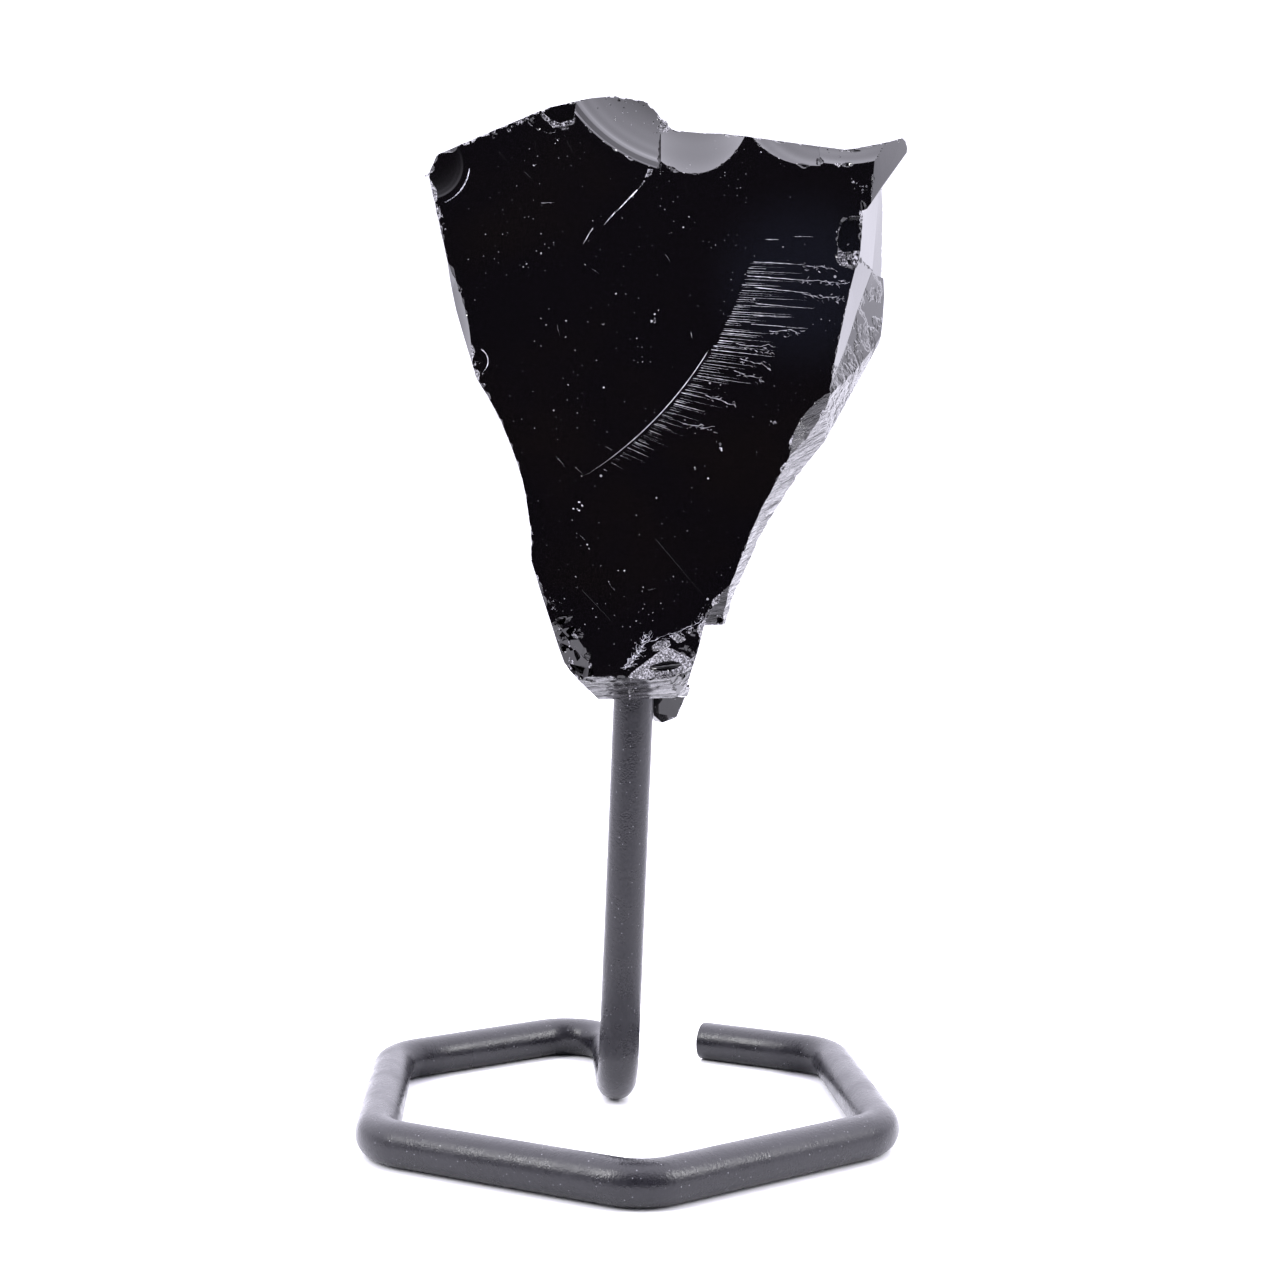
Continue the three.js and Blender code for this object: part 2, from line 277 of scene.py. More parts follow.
@dataclass(frozen=True)
class ObsidianFinish:
    """Black natural glass: glossy where it broke cleanly, pale where it was crushed, with a painted bluish
    sheen on the front and painted white glints on thin lines.
    """

    surface: Surface
    body: tuple[float, float, float, float] = (0.0009, 0.0006, 0.0011, 1.0)
    brown: tuple[float, float, float, float] = (0.0014, 0.0009, 0.0010, 1.0)
    # Blue of a painted sheen over the upper right of the front.
    painted_sheen_blue: tuple[float, float, float, float] = (0.0028, 0.0031, 0.0052, 1.0)
    powder: tuple[float, float, float, float] = (0.46, 0.45, 0.48, 1.0)
    # Near-white of the bruised surface, partly frosting and partly painted glint.
    frost_and_painted_glint: tuple[float, float, float, float] = (0.90, 0.90, 0.95, 1.0)
    dust: tuple[float, float, float, float] = (0.16, 0.16, 0.17, 1.0)
    gloss: float = 0.035
    dullest: float = 0.9
    ior: float = 1.49
    impact: tuple[float, float, float] = (-30.1, -7.7, 115.7)
    painted_sheen: tuple[float, float, float] = (20.0, -7.0, 101.0)

    def make(self) -> bpy.types.Material:
        """Return the material of this kind of break.

        Returns:
            The material.
        """
        material, tree = new_material(f"obsidian_{self.surface.name.lower()}")
        place = tree.place()
        tint = tree.noise(place, 14.0, 3.0).ramp(0.45, 0.75)
        colour = tree.colour(tint, self.body, self.brown)
        # Painted sheen: the colour turns bluish near a given point on the front, standing in for a lighter
        # reflection there.
        painted_sheen = tree.vector("DISTANCE", place, self.painted_sheen, "Value").ramp(13.0, 4.0)
        colour = tree.colour(0.8 * painted_sheen, colour, self.painted_sheen_blue)
        clouds = tree.noise(place, 9.0, 2.0).ramp(0.42, 0.66)
        fine = tree.specks(place, 0.50, 0.080, 0.40) * clouds
        grit = tree.specks(tree.vector("ADD", place, (31.0, 7.0, 3.0)), 2.1, 0.17, 0.22)
        lint_place = tree.stretched(place, (0.0, 38.0, 0.0), (6.0, 1.0, 1.0))
        lint = tree.specks(lint_place, 1.7, 0.055, 0.10)
        dirt = tree.math("MAXIMUM", tree.math("MAXIMUM", fine, grit), lint)
        smudge = tree.noise(place, 5.0, 4.0, 0.6).ramp(0.5, 0.8)
        rough = self.gloss + 0.03 * smudge
        height = tree.noise(place, 4.0, 2.0) + self.rings(tree, place)
        depth = 0.010
        if self.surface is Surface.CRUSHED:
            crumbs = tree.noise(place, 0.24, 4.0, 0.7).ramp(0.42, 0.66)
            colour = tree.colour(0.85 * crumbs, colour, self.powder)
            rough = rough + 0.35 * crumbs
            height = tree.noise(place, 0.5, 4.0, 0.7)
            depth = 0.09
        if self.surface is Surface.BRUISED:
            # Frosted white mixed in: real on pits and scratches, a painted glint on the ripple line, the
            # crescent and the hackles.
            frosting_and_painted_glint = 0.35 + 0.60 * tree.noise(place, 0.45, 3.0, 0.6).ramp(0.30, 0.66)
            colour = tree.colour(frosting_and_painted_glint, colour, self.frost_and_painted_glint)
            rough = rough + 0.4
        if self.surface is Surface.STREAKED:
            grain_place = tree.stretched(place, (0.0, 29.0, 0.0), (2.4, 2.4, 0.20))
            grain = tree.noise(grain_place, 3.0, 4.0, 0.6)
            colour = tree.colour(0.04 * grain.ramp(0.5, 0.8), colour, self.powder)
            rough = rough + 0.10 * grain.ramp(0.35, 0.7)
            height = grain
            depth = 0.9
        if self.surface is Surface.COMBED:
            grain_place = tree.stretched(place, (0.0, 7.0, 0.0), (2.4, 0.9, 0.16))
            grain = tree.noise(grain_place, 3.0, 4.0, 0.6)
            colour = tree.colour(0.14 * grain.ramp(0.40, 0.75), colour, self.powder)
            rough = rough + 0.12 + 0.12 * grain.ramp(0.35, 0.7)
            height = grain + 0.8 * tree.noise(place, 1.8, 1.0)
            depth = 0.40
        if self.surface is Surface.MOTTLED:
            grain_place = tree.stretched(place, (0.0, -38.0, 0.0), (2.0, 1.6, 0.8))
            patches = tree.noise(grain_place, 2.6, 3.0, 0.55)
            rough = rough + 0.12 * patches
            height = patches.ramp(0.44, 0.53) + 0.6 * patches.ramp(0.56, 0.62)
            depth = 0.26
        colour = tree.colour(dirt, colour, self.dust)
        rough = rough + 0.6 * dirt
        close_material(tree, {
            "Base Color": colour,
            "Roughness": tree.math("MINIMUM", rough, self.dullest),
            "IOR": self.ior,
            "Normal": tree.bump(height, depth),
        })
        return material

    def rings(self, tree: ShaderTree, place: Wire) -> Wire:
        """Return faint rings round the point where the front broke.

        Args:
            tree: The material's tree.
            place: Where on the surface, in millimetres.

        Returns:
            The rings' height.
        """
        away = tree.vector("DISTANCE", place, self.impact, "Value")
        wave = tree.math("SINE", away * 1.25 + 2.0 * tree.noise(place, 12.0))
        return wave * 0.35


@dataclass(frozen=True)
class PowderCoatFinish:
    """Satin black powder coat with a fine grain; a few pale specks are painted glints."""

    body: tuple[float, float, float, float] = (0.0070, 0.0067, 0.0090, 1.0)
    worn: tuple[float, float, float, float] = (0.0135, 0.0129, 0.0165, 1.0)
    # Pale grey of the specks that are painted glints.
    grain: tuple[float, float, float, float] = (0.22, 0.22, 0.24, 1.0)
    ior: float = 1.41
    peel_depth: float = 0.060

    def make(self) -> bpy.types.Material:
        """Return the material.

        Returns:
            The material.
        """
        material, tree = new_material("black_powder_coat")
        place = tree.place()
        patches = tree.noise(place, 3.5, 4.0, 0.6).ramp(0.35, 0.75)
        mottle = tree.noise(place, 0.45, 3.0, 0.6).ramp(0.35, 0.7)
        colour = tree.colour(0.6 * patches + 0.4 * mottle, self.body, self.worn)
        # Painted glints: scattered specks turned pale grey, standing in for the coat's sparkle; they are
        # also a little glossier.
        painted_glint_specks = tree.specks(place, 0.42, 0.085, 0.35)
        colour = tree.colour(0.55 * painted_glint_specks, colour, self.grain)
        peel = 0.5 * tree.noise(place, 0.55, 2.0) + 0.5 * tree.noise(place, 0.22, 1.0)
        close_material(tree, {
            "Base Color": colour,
            "Roughness": 0.24 + 0.14 * patches - 0.08 * painted_glint_specks,
            "IOR": self.ior,
            "Normal": tree.bump(peel, self.peel_depth),
        })
        return material


@dataclass(frozen=True)
class PaleFloorFinish:
    """Plain matt white paper."""

    colour: tuple[float, float, float, float] = (0.86, 0.86, 0.87, 1.0)

    def make(self) -> bpy.types.Material:
        """Return the material.

        Returns:
            The material.
        """
        material, tree = new_material("pale_floor")
        close_material(tree, {"Base Color": self.colour, "Roughness": 0.55, "Specular IOR Level": 0.2})
        return material


# ------------------------------------------------------------------ meshes and cuts


@dataclass
class Shape:
    """A closed mesh in millimetres, before it becomes an object."""

    points: np.ndarray
    faces: list[tuple[int, ...]]
    surface: Surface = Surface.GLASSY


def merged(shapes: Sequence[Shape]) -> tuple[np.ndarray, list[tuple[int, ...]], list[int]]:
    """Return the points, faces and surfaces of several shapes that don't touch.

    Args:
        shapes: The shapes.

    Returns:
        The points, the faces and each face's surface.
    """
    points = []
    faces = []
    kinds = []
    start = 0
    for shape in shapes:
        points.append(shape.points)
        faces.extend(tuple(start + i for i in face) for face in shape.faces)
        kinds.extend([int(shape.surface)] * len(shape.faces))
        start += len(shape.points)
    return np.concatenate(points), faces, kinds


class Workpiece:
    """A mesh object that is joined to and cut by shapes."""

    def __init__(self, name: str, materials: Sequence[bpy.types.Material], blank: Shape) -> None:
        """Start from a blank."""
        self.materials = materials
        self.item = self.make_object(name, [blank])

    def make_object(self, name: str, shapes: Sequence[Shape]) -> bpy.types.Object:
        """Return a new object made of shapes that don't touch.

        Args:
            name: The object's name.
            shapes: The shapes.

        Returns:
            The object.
        """
        points, faces, kinds = merged(shapes)
        mesh = bpy.data.meshes.new(name)
        mesh.from_pydata(points.tolist(), [], faces)
        for material in self.materials:
            mesh.materials.append(material)
        mesh.polygons.foreach_set("material_index", kinds)
        made = bpy.data.objects.new(name, mesh)
        bpy.context.scene.collection.objects.link(made)
        return made

    def apply(self, operation: str, shapes: Sequence[Shape]) -> None:
        """Join or cut with shapes that don't touch each other.

        Args:
            operation: UNION or DIFFERENCE.
            shapes: The shapes.
        """
        if not shapes:
            return
        tool = self.make_object("tool", shapes)
        modifier = self.item.modifiers.new("cut", "BOOLEAN")
        modifier.solver = "MANIFOLD"
        modifier.operation = operation
        modifier.object = tool
        graph = bpy.context.evaluated_depsgraph_get()
        result = bpy.data.meshes.new_from_object(self.item.evaluated_get(graph))
        self.item.modifiers.clear()
        before = self.item.data
        self.item.data = result
        result.name = before.name
        bpy.data.meshes.remove(before)
        tool_mesh = tool.data
        bpy.data.objects.remove(tool)
        bpy.data.meshes.remove(tool_mesh)

    def cut(self, shapes: Sequence[Shape]) -> None:
        """Cut shapes away that don't touch each other."""
        self.apply("DIFFERENCE", shapes)

    def cut_apart(self, shapes: Iterable[Shape]) -> int:
        """Cut many shapes away, in rounds whose shapes stay clear of each other.

        Args:
            shapes: The shapes, in the order in which they find a round.

        Returns:
            The number of rounds.
        """
        rounds: list[list[tuple[np.ndarray, float, Shape]]] = []
        for shape in shapes:
            middle = (shape.points.max(axis=0) + shape.points.min(axis=0)) / 2.0
            reach = float(np.linalg.norm(shape.points - middle, axis=1).max())
            for batch in rounds:
                if all(np.linalg.norm(middle - other) > reach + far for other, far, _ in batch):
                    batch.append((middle, reach, shape))
                    break
            else:
                rounds.append([(middle, reach, shape)])
        for batch in rounds:
            self.cut([shape for _, _, shape in batch])
        return len(rounds)

    def tree(self) -> BVHTree:
        """Return a search tree of the surface.

        Returns:
            The search tree.
        """
        mesh = self.item.data
        points = [vertex.co for vertex in mesh.vertices]
        return BVHTree.FromPolygons(points, [tuple(face.vertices) for face in mesh.polygons])

    def sharp_edges(self, least: float) -> list[tuple[Vector, Vector, Vector]]:
        """Find the outward edges whose faces meet at more than an angle.

        Args:
            least: The smallest angle between the faces' normals, in radians.

        Returns:
            Each edge's two ends and the mean of its faces' normals, in a fixed order.
        """
        found = []
        work = bmesh.new()
        work.from_mesh(self.item.data)
        for edge in work.edges:
            if len(edge.link_faces) == 2 and edge.calc_face_angle_signed(0.0) > least:
                normal = (edge.link_faces[0].normal + edge.link_faces[1].normal).normalized()
                ends = sorted((vertex.co.copy() for vertex in edge.verts), key=tuple)
                found.append((ends[0], ends[1], normal))
        work.free()
        found.sort(key=lambda entry: tuple(round(value, 3) for value in (*entry[0], *entry[1])))
        return found


def hull(corners: Sequence[Sequence[float]], surface: Surface = Surface.GLASSY) -> Shape:
    """Return the smallest convex block round some corners.

    Args:
        corners: The corners, in millimetres.
        surface: What its faces look like.

    Returns:
        The block.
    """
    work = bmesh.new()
    for corner in corners:
        work.verts.new(corner)
    bmesh.ops.convex_hull(work, input=work.verts)
    loose = [vertex for vertex in work.verts if not vertex.link_faces]
    bmesh.ops.delete(work, geom=loose, context="VERTS")
    bmesh.ops.recalc_face_normals(work, faces=work.faces)
    work.verts.index_update()
    points = np.array([tuple(vertex.co) for vertex in work.verts])
    faces = [tuple(vertex.index for vertex in face.verts) for face in work.faces]
    work.free()
    return Shape(points, faces, surface)


def basis(axis: Sequence[float]) -> Matrix:
    """Return a rotation that takes +Z to an axis."""
    return Vector(axis).normalized().to_track_quat("Z", "Y").to_matrix()


def ball_grid(rings: int, segments: int) -> tuple[np.ndarray, np.ndarray, list[tuple[int, ...]]]:
    """Return the angles and faces of a ball.

    Args:
        rings: Number of bands from pole to pole.
        segments: Number of points round each ring.

    Returns:
        The angle from the pole and the angle round it of each point, and the faces.
    """
    from_pole = [0.0]
    around = [0.0]
    for ring in range(1, rings):
        for segment in range(segments):
            from_pole.append(math.pi * ring / rings)
            around.append(math.tau * segment / segments)
    from_pole.append(math.pi)
    around.append(0.0)
    last = len(around) - 1
    faces: list[tuple[int, ...]] = []
    for segment in range(segments):
        after = (segment + 1) % segments
        faces.append((0, 1 + segment, 1 + after))
        foot = 1 + (rings - 2) * segments
        faces.append((last, foot + after, foot + segment))
        for ring in range(rings - 2):
            top = 1 + ring * segments
            low = top + segments
            faces.append((top + segment, low + segment, low + after, top + after))
    return np.array(from_pole), np.array(around), faces


@dataclass(frozen=True)
class Scar:
    """One shell-shaped flake scar, the hollow that a ball leaves.

    The scar's ripples run round the point where the flake was struck off.
    """

    centre: tuple[float, float, float]
    radius: float
    strike: tuple[float, float, float] = (0.0, 0.0, 1.0)
    stretch: tuple[float, float, float] = (1.0, 1.0, 1.0)
    turn: tuple[float, float, float] = (0.0, 0.0, 0.0)
    ripple: float = 0.0
    spacing: float = 2.0
    rim: float = 0.0
    fade: float = 0.0
    striae: float = 0.0
    facet: float = 0.45
    surface: Surface = Surface.GLASSY
    seed: int = 1

    def shape(self) -> Shape:
        """Return the ball that cuts this scar.

        Returns:
            The ball.
        """
        rings = max(12, round(math.pi * self.radius / self.facet))
        segments = max(16, round(math.tau * self.radius / (1.6 * self.facet)))
        rings = min(rings, 260)
        segments = min(segments, 300)
        theta, phi, faces = ball_grid(rings, segments)
        draws = random.Random(self.seed)
        distance = theta * self.radius
        wander = sum(
            np.sin(turns * phi + draws.uniform(0.0, math.tau)) / turns for turns in (1, 2, 3, 5)
        )
        wave = np.sin(math.tau * distance / self.spacing + 0.5 * wander + draws.uniform(0.0, math.tau))
        slow = np.sin(math.tau * distance / (2.7 * self.spacing) + draws.uniform(0.0, math.tau))
        rays = sum(
            np.sin(turns * phi + draws.uniform(0.0, math.tau)) for turns in (17, 29, 43, 61, 83)
        )
        swell = self.ripple * (0.6 * wave + 0.8 * slow) * np.sin(theta)
        if self.fade:
            near = np.exp(-np.abs(self.rim - distance) / self.fade)
            swell = self.ripple * near * np.cos(math.tau * (self.rim - distance) / self.spacing)
        radius = self.radius + swell
        radius = radius + self.striae * rays / 3.0 * np.sin(theta) ** 2
        local = np.stack(
            [np.sin(theta) * np.cos(phi), np.sin(theta) * np.sin(phi), np.cos(theta)], axis=1
        ) * radius[:, None]
        turned = local @ np.array(basis(self.strike)).T
        stretched = turned * np.array(self.stretch)
        turn = Euler([math.radians(angle) for angle in self.turn]).to_matrix()
        return Shape(stretched @ np.array(turn).T + np.array(self.centre), faces, self.surface)


def chip(centre: Vector, radius: float, along: Vector, length: float, draws: random.Random,
         surface: Surface, rings: int = 7) -> Shape:
    """Return a small lumpy ball that leaves one chip.

    Args:
        centre: Middle of the ball.
        radius: Its radius across the edge.
        along: Direction in which it is longer.
        length: How many times longer it is there.
        draws: Source of random numbers.
        surface: What the chip's hollow looks like.
        rings: Fineness of the ball.

    Returns:
        The ball.
    """
    theta, phi, faces = ball_grid(rings, rings + 3)
    spin = draws.uniform(0.0, math.tau)
    phi = phi + spin
    lumps = 1.0 + 0.10 * np.sin(2.0 * phi + 3.0 * theta + spin) + 0.07 * np.sin(5.0 * theta - phi)
    local = np.stack(
        [np.sin(theta) * np.cos(phi), np.sin(theta) * np.sin(phi), np.cos(theta) * length], axis=1
    ) * (radius * lumps)[:, None]
    turned = local @ np.array(basis(along)).T
    return Shape(turned + np.array(centre), faces, surface)


def shard(centre: Vector, radius: float, draws: random.Random, surface: Surface) -> Shape:
    """Return an angular crumb that leaves a sharp little pit.

    Args:
        centre: Middle of the crumb.
        radius: Its greatest reach.
        draws: Source of random numbers.
        surface: What the pit looks like.

    Returns:
        The crumb.
    """
    corners = []
    for _ in range(9):
        way = Vector([draws.gauss(0.0, 1.0) for _ in range(3)]).normalized()
        corners.append(centre + way * radius * draws.uniform(0.75, 1.0))
    return hull(corners, surface)


# ------------------------------------------------------------------ the stone


@dataclass(frozen=True)
class FrontFace:
    """The front of the stone: one broken shell that leans back a little.

    It broke from a point beyond its top left corner. Past one ripple the shell falls back.
    """

    y: float = -11.0
    z: float = 52.0
    lean: float = math.radians(3.0)
    ripple_x: float = -29.3
    ripple_z: float = 115.7
    ripple_radius: float = 45.0
    step: float = 0.06
    fall: float = math.radians(2.5)

    def plane(self, x: float, z: float) -> tuple[float, float, float]:
        """Return the point of the leaning plane at a place across and up."""
        return (x, self.y + (z - self.z) * math.tan(self.lean), z)

    def outward(self) -> Vector:
        """Return the plane's outward normal."""
        return Vector((0.0, -math.cos(self.lean), math.sin(self.lean)))

    def upward(self) -> Vector:
        """Return the direction up the plane."""
        return Vector((0.0, math.sin(self.lean), math.cos(self.lean)))

    def inset(self, x: float, z: float) -> float:
        """Return how far behind the plane the surface lies."""
        past = math.hypot(x - self.ripple_x, z - self.ripple_z) - self.ripple_radius
        return 0.0 if past <= 0.0 else self.step + past * math.tan(self.fall)

    def surface(self, x: float, z: float) -> Vector:
        """Return the point of the broken surface at a place across and up."""
        return Vector(self.plane(x, z)) - self.outward() * self.inset(x, z)


@dataclass(frozen=True)
class CrushZone:
    """A place where the edge or the face is crushed into crumbs."""

    centre: tuple[float, float, float]
    reach: float
    crumbs: int
    least: float
    most: float


@dataclass(frozen=True)
class Lance:
    """One jagged hackle line on the front, from a place across and up."""

    x: float
    z: float
    length: float
    heading: float
    width: float
    depth: float
    jag: float
    surface: Surface = Surface.CRUSHED
    blunt: float = 0.5
    pitch: float = 0.45


@dataclass
class ObsidianChunk:
    """The broken stone."""

    face: FrontFace
    node: str = "obsidian_chunk"
    bruised_edges: tuple[tuple[tuple[float, float, float], float], ...] = (
        ((-22.0, -6.0, 116.4), 3.4), ((-17.5, -6.0, 118.3), 3.6), ((-13.2, -6.0, 120.2), 3.6),
        ((4.0, -3.0, 121.4), 2.6), ((0.4, -3.0, 123.8), 2.8), ((23.0, -7.5, 114.4), 1.6),
        ((-23.4, -7.8, 110.0), 2.6), ((-18.3, -8.6, 90.4), 2.4), ((25.8, -8.4, 104.0), 1.6),
        ((-9.4, -10.2, 64.0), 2.2), ((8.6, -10.2, 61.4), 2.0), ((3.0, -10.6, 58.4), 2.0),
    )
    socket_foot: tuple[float, float, float] = (POST_X + POST_LEAN * 41.5, POST_Y, 44.0)
    socket_top: tuple[float, float, float] = (POST_X + POST_LEAN * 63.8, POST_Y, 66.3)
    socket_radius: float = 2.62
    socket_sides: int = 64
    chipped_angle: float = math.radians(34.0)
    foot_crumbs: int = 20
    front_flecks: int = 110
    fringe_lines: int = 96
    stray_scratches: int = 12
    foot_strokes: int = 80
    strokes_per_mm: float = 3.4
    chip_radius: tuple[float, float] = (0.11, 0.48)
    bruise_radius: tuple[float, float] = (0.26, 0.66)
    chip_crushed: float = 0.22
    bruise_crushed: float = 0.5
    shortest_edge: float = 1e-4
    seed: int = 7
    sharp: float = math.radians(13.0)

    def rough_block(self) -> Shape:
        """Return the block before any flake came off it.

        Returns:
            The block.
        """
        face = self.face.plane
        return hull([
            face(-23.6, 113.2), face(-22.6, 115.6), face(-10.3, 121.0), face(14.0, 117.5),
            face(28.5, 116.2), face(28.2, 111.0), face(26.8, 100.0), face(24.4, 89.8), face(12.8, 66.5),
            face(11.5, 60.8), face(8.8, 58.4), face(2.0, 52.2), face(-3.0, 51.3),
            face(-7.0, 55.6), face(-10.0, 64.5), face(-19.4, 94.5),
            (-24.9, -2.0, 114.4), (-24.2, -2.0, 116.0), (-9.0, -3.0, 121.3), (5.0, -3.0, 120.0),
            (28.8, -1.0, 117.9), (31.3, 4.0, 115.0), (31.2, 4.0, 104.0), (31.7, 4.0, 101.5),
            (31.7, 4.0, 98.0), (31.1, 4.0, 95.7), (26.1, 2.0, 88.0),
            (18.6, -4.2, 75.4), (14.3, -4.5, 68.9), (12.2, -5.0, 63.4), (8.4, 2.0, 53.0),
            (-24.9, 1.0, 114.4), (-23.4, 1.0, 105.9), (-20.9, 1.0, 97.4), (-11.5, 1.0, 67.0),
            (-8.0, 2.0, 57.5),
            (-3.6, 4.0, 51.6), (7.8, -2.0, 51.8), (6.0, 8.0, 51.8),
            (-19.0, 13.0, 112.5), (-7.0, 18.5, 117.0), (19.5, 18.0, 115.0), (27.5, 12.0, 106.0),
            (-14.5, 14.5, 96.0), (12.0, 19.0, 92.0), (-4.0, 15.5, 74.0), (8.0, 12.0, 62.0),
        ])

    def top_peak(self) -> Shape:
        """Return the short peak at the left of the top.

        Returns:
            The peak.
        """
        face = self.face.plane
        return hull([
            face(-11.5, 119.0), face(-10.3, 121.0), face(-6.6, 121.9), face(5.0, 118.5),
            (-9.9, -3.0, 122.1), (-7.9, -3.6, 122.9), (-6.0, -3.0, 123.6), (-3.8, -3.0, 124.0),
            (1.9, -3.0, 123.8), (2.7, -3.0, 123.1), (4.4, -3.0, 121.2), (5.4, -3.0, 119.8),
            (4.4, 4.0, 119.0), (1.0, 5.0, 122.6), (-5.0, 6.0, 122.0), (-10.0, 3.0, 118.0),
        ])

    def side_ear(self) -> Shape:
        """Return the thin pointed ear that overhangs the right side.

        Returns:
            The ear.
        """
        return hull([
            (27.9, -7.9, 109.6), (28.4, -7.6, 117.0), (29.3, -6.5, 117.4), (31.2, -4.0, 118.5),
            (32.8, -2.0, 119.5), (33.3, -1.3, 119.3), (33.6, -0.9, 118.6), (33.5, -1.0, 118.0),
            (32.2, -2.6, 116.3), (30.0, -5.5, 112.9), (33.1, 0.4, 118.3), (31.0, 1.6, 116.6),
            (28.4, 2.6, 111.6), (25.0, 6.0, 117.0), (26.0, -1.0, 110.0), (25.0, -3.0, 117.7),
        ])

    def foot_knob(self) -> Shape:
        """Return the knob left under the foot, behind the post.

        Returns:
            The knob.
        """
        return hull([
            (4.6, 6.2, 48.0), (5.8, 7.4, 48.2), (3.6, 7.6, 48.1),
            (3.0, 5.6, 49.4), (6.4, 5.4, 48.8), (6.9, 7.8, 49.8), (3.2, 8.8, 49.6),
            (2.7, 5.0, 52.0), (5.4, 4.6, 51.6), (7.7, 5.8, 51.8), (7.6, 8.6, 52.0), (4.4, 9.4, 51.6),
            (2.7, 4.8, 55.4), (8.4, 5.4, 54.0), (8.6, 7.8, 55.5), (3.0, 9.4, 55.5),
        ])

    def side_wedges(self) -> list[Shape]:
        """Return the cutters of the facets that meet in a valley down the right side.

        Returns:
            The lower and the upper cutter.
        """
        low_front = ((23.3, -9.3, 87.4), (21.6, -16.8, 92.0), (24.0, -16.2, 104.0))
        low_valley = ((25.2, -5.0, 91.2), (27.5, -2.4, 98.5), (29.6, 0.0, 104.0))
        low_back = ((36.8, 12.0, 94.0), (36.8, 12.0, 104.0), (60.0, -16.0, 84.0), (60.0, -16.0, 104.0),
                    (60.0, 12.0, 84.0), (60.0, 12.0, 104.0))
        high_front = ((24.0, -16.2, 103.6), (26.3, -15.7, 114.5))
        high_valley = ((29.6, 0.0, 103.6), (30.7, 2.2, 114.5))
        high_back = ((34.4, 12.0, 103.6), (34.8, 12.0, 114.5), (60.0, -16.0, 103.6),
                     (60.0, -16.0, 114.5), (60.0, 12.0, 103.6), (60.0, 12.0, 114.5))
        return [hull([*low_front, *low_valley, *low_back]),
                hull([*high_front, *high_valley, *high_back])]

    def side_scars(self) -> list[Scar]:
        """Return the scars that came off the sides before the ear broke free.

        Returns:
            The scars, in the order of cutting.
        """
        return [
            Scar((88.5, -34.9, 41.0), 84.0, (-0.6, 0.3, 0.7), ripple=0.16, spacing=3.4,
                 striae=0.10, facet=0.9, surface=Surface.STREAKED, seed=12),
            Scar((63.1, 17.1, 41.3), 60.0, (-0.6, -0.3, 0.7), ripple=0.12, spacing=3.0,
                 facet=0.8, surface=Surface.STREAKED, seed=15),
            Scar((-48.4, -22.0, 90.3), 32.9, (0.8, 0.3, 0.5), ripple=0.06, spacing=4.0,
                 facet=0.6, seed=13),
            Scar((-48.0, -4.0, 67.8), 37.4, (0.8, 0.3, 0.5), ripple=0.08, spacing=4.0,
                 striae=0.08, facet=0.7, surface=Surface.STREAKED, seed=14),
        ]

    def top_scars(self) -> list[Shape]:
        """Return the cutters along the front of the top, each ended by a wall.

        Returns:
            The cutters, in the order of cutting.
        """
        wide = Scar((8.4, -27.4, 133.5), 28.1, (0.0, 0.9986, -0.0523), ripple=0.14, spacing=1.9,
                    striae=0.010, rim=20.4, fade=1.3, facet=0.2, seed=21)
        middle = Scar((7.4, -11.8, 121.0), 8.0, (0.0, 0.0, 1.0), (1.0, 1.0, 2.4), (-40.0, 0.0, 0.0),
                      ripple=0.04, spacing=2.6, facet=0.16, seed=27)
        long = Scar((22.0, -17.4, 124.6), 14.1, (0.1, 0.98, -0.1), ripple=0.05, spacing=2.3,
                    striae=0.02, facet=0.24, seed=23)
        end = Scar((25.6, -26.0, 132.5), 25.7, (0.0, 0.98, -0.2), ripple=0.05, spacing=1.9,
                   striae=0.02, facet=0.30, seed=24)
        return [walled(wide.shape(), -60.0, 3.6), walled(middle.shape(), 3.1, 60.0),
                walled(long.shape(), -60.0, 22.4), walled(end.shape(), 20.0, 60.0)]

    def later_scars(self) -> list[Scar]:
        """Return the bites out of the outline, the top and the back.

        Returns:
            The scars, in the order of cutting.
        """
        return [
            Scar((-9.1, -15.6, 55.5), 7.5, (0.2, 0.95, 0.1), ripple=0.05, spacing=1.3,
                 facet=0.18, seed=32),
            Scar((27.5, -16.3, 80.6), 11.3, (-0.5, 0.6, 0.6), ripple=0.04, spacing=1.4,
                 striae=0.03, facet=0.20, surface=Surface.STREAKED, seed=33),
            Scar((-23.6, -8.35, 114.3), 4.9, (0.0, 1.0, 0.0), (1.0, 0.22, 1.0), (-3.0, 0.0, 0.0),
                 ripple=0.06, spacing=0.8, rim=7.4, fade=1.6, facet=0.12, seed=35),
            Scar((18.0, 12.0, 152.0), 35.0, (0.3, 0.2, -0.9), ripple=0.12, spacing=3.4,
                 facet=0.6, seed=36),
            Scar((-22.0, 34.0, 116.0), 24.0, (0.5, -0.8, 0.2), ripple=0.15, spacing=3.6,
                 striae=0.04, facet=0.5, seed=37),
            Scar((30.0, 42.0, 92.0), 29.0, (-0.4, -0.8, 0.4), ripple=0.16, spacing=4.2,
                 striae=0.05, facet=0.6, seed=38),
            Scar((-12.0, 36.0, 66.0), 25.0, (0.3, -0.8, 0.4), ripple=0.13, spacing=3.2,
                 facet=0.5, seed=39),
        ]

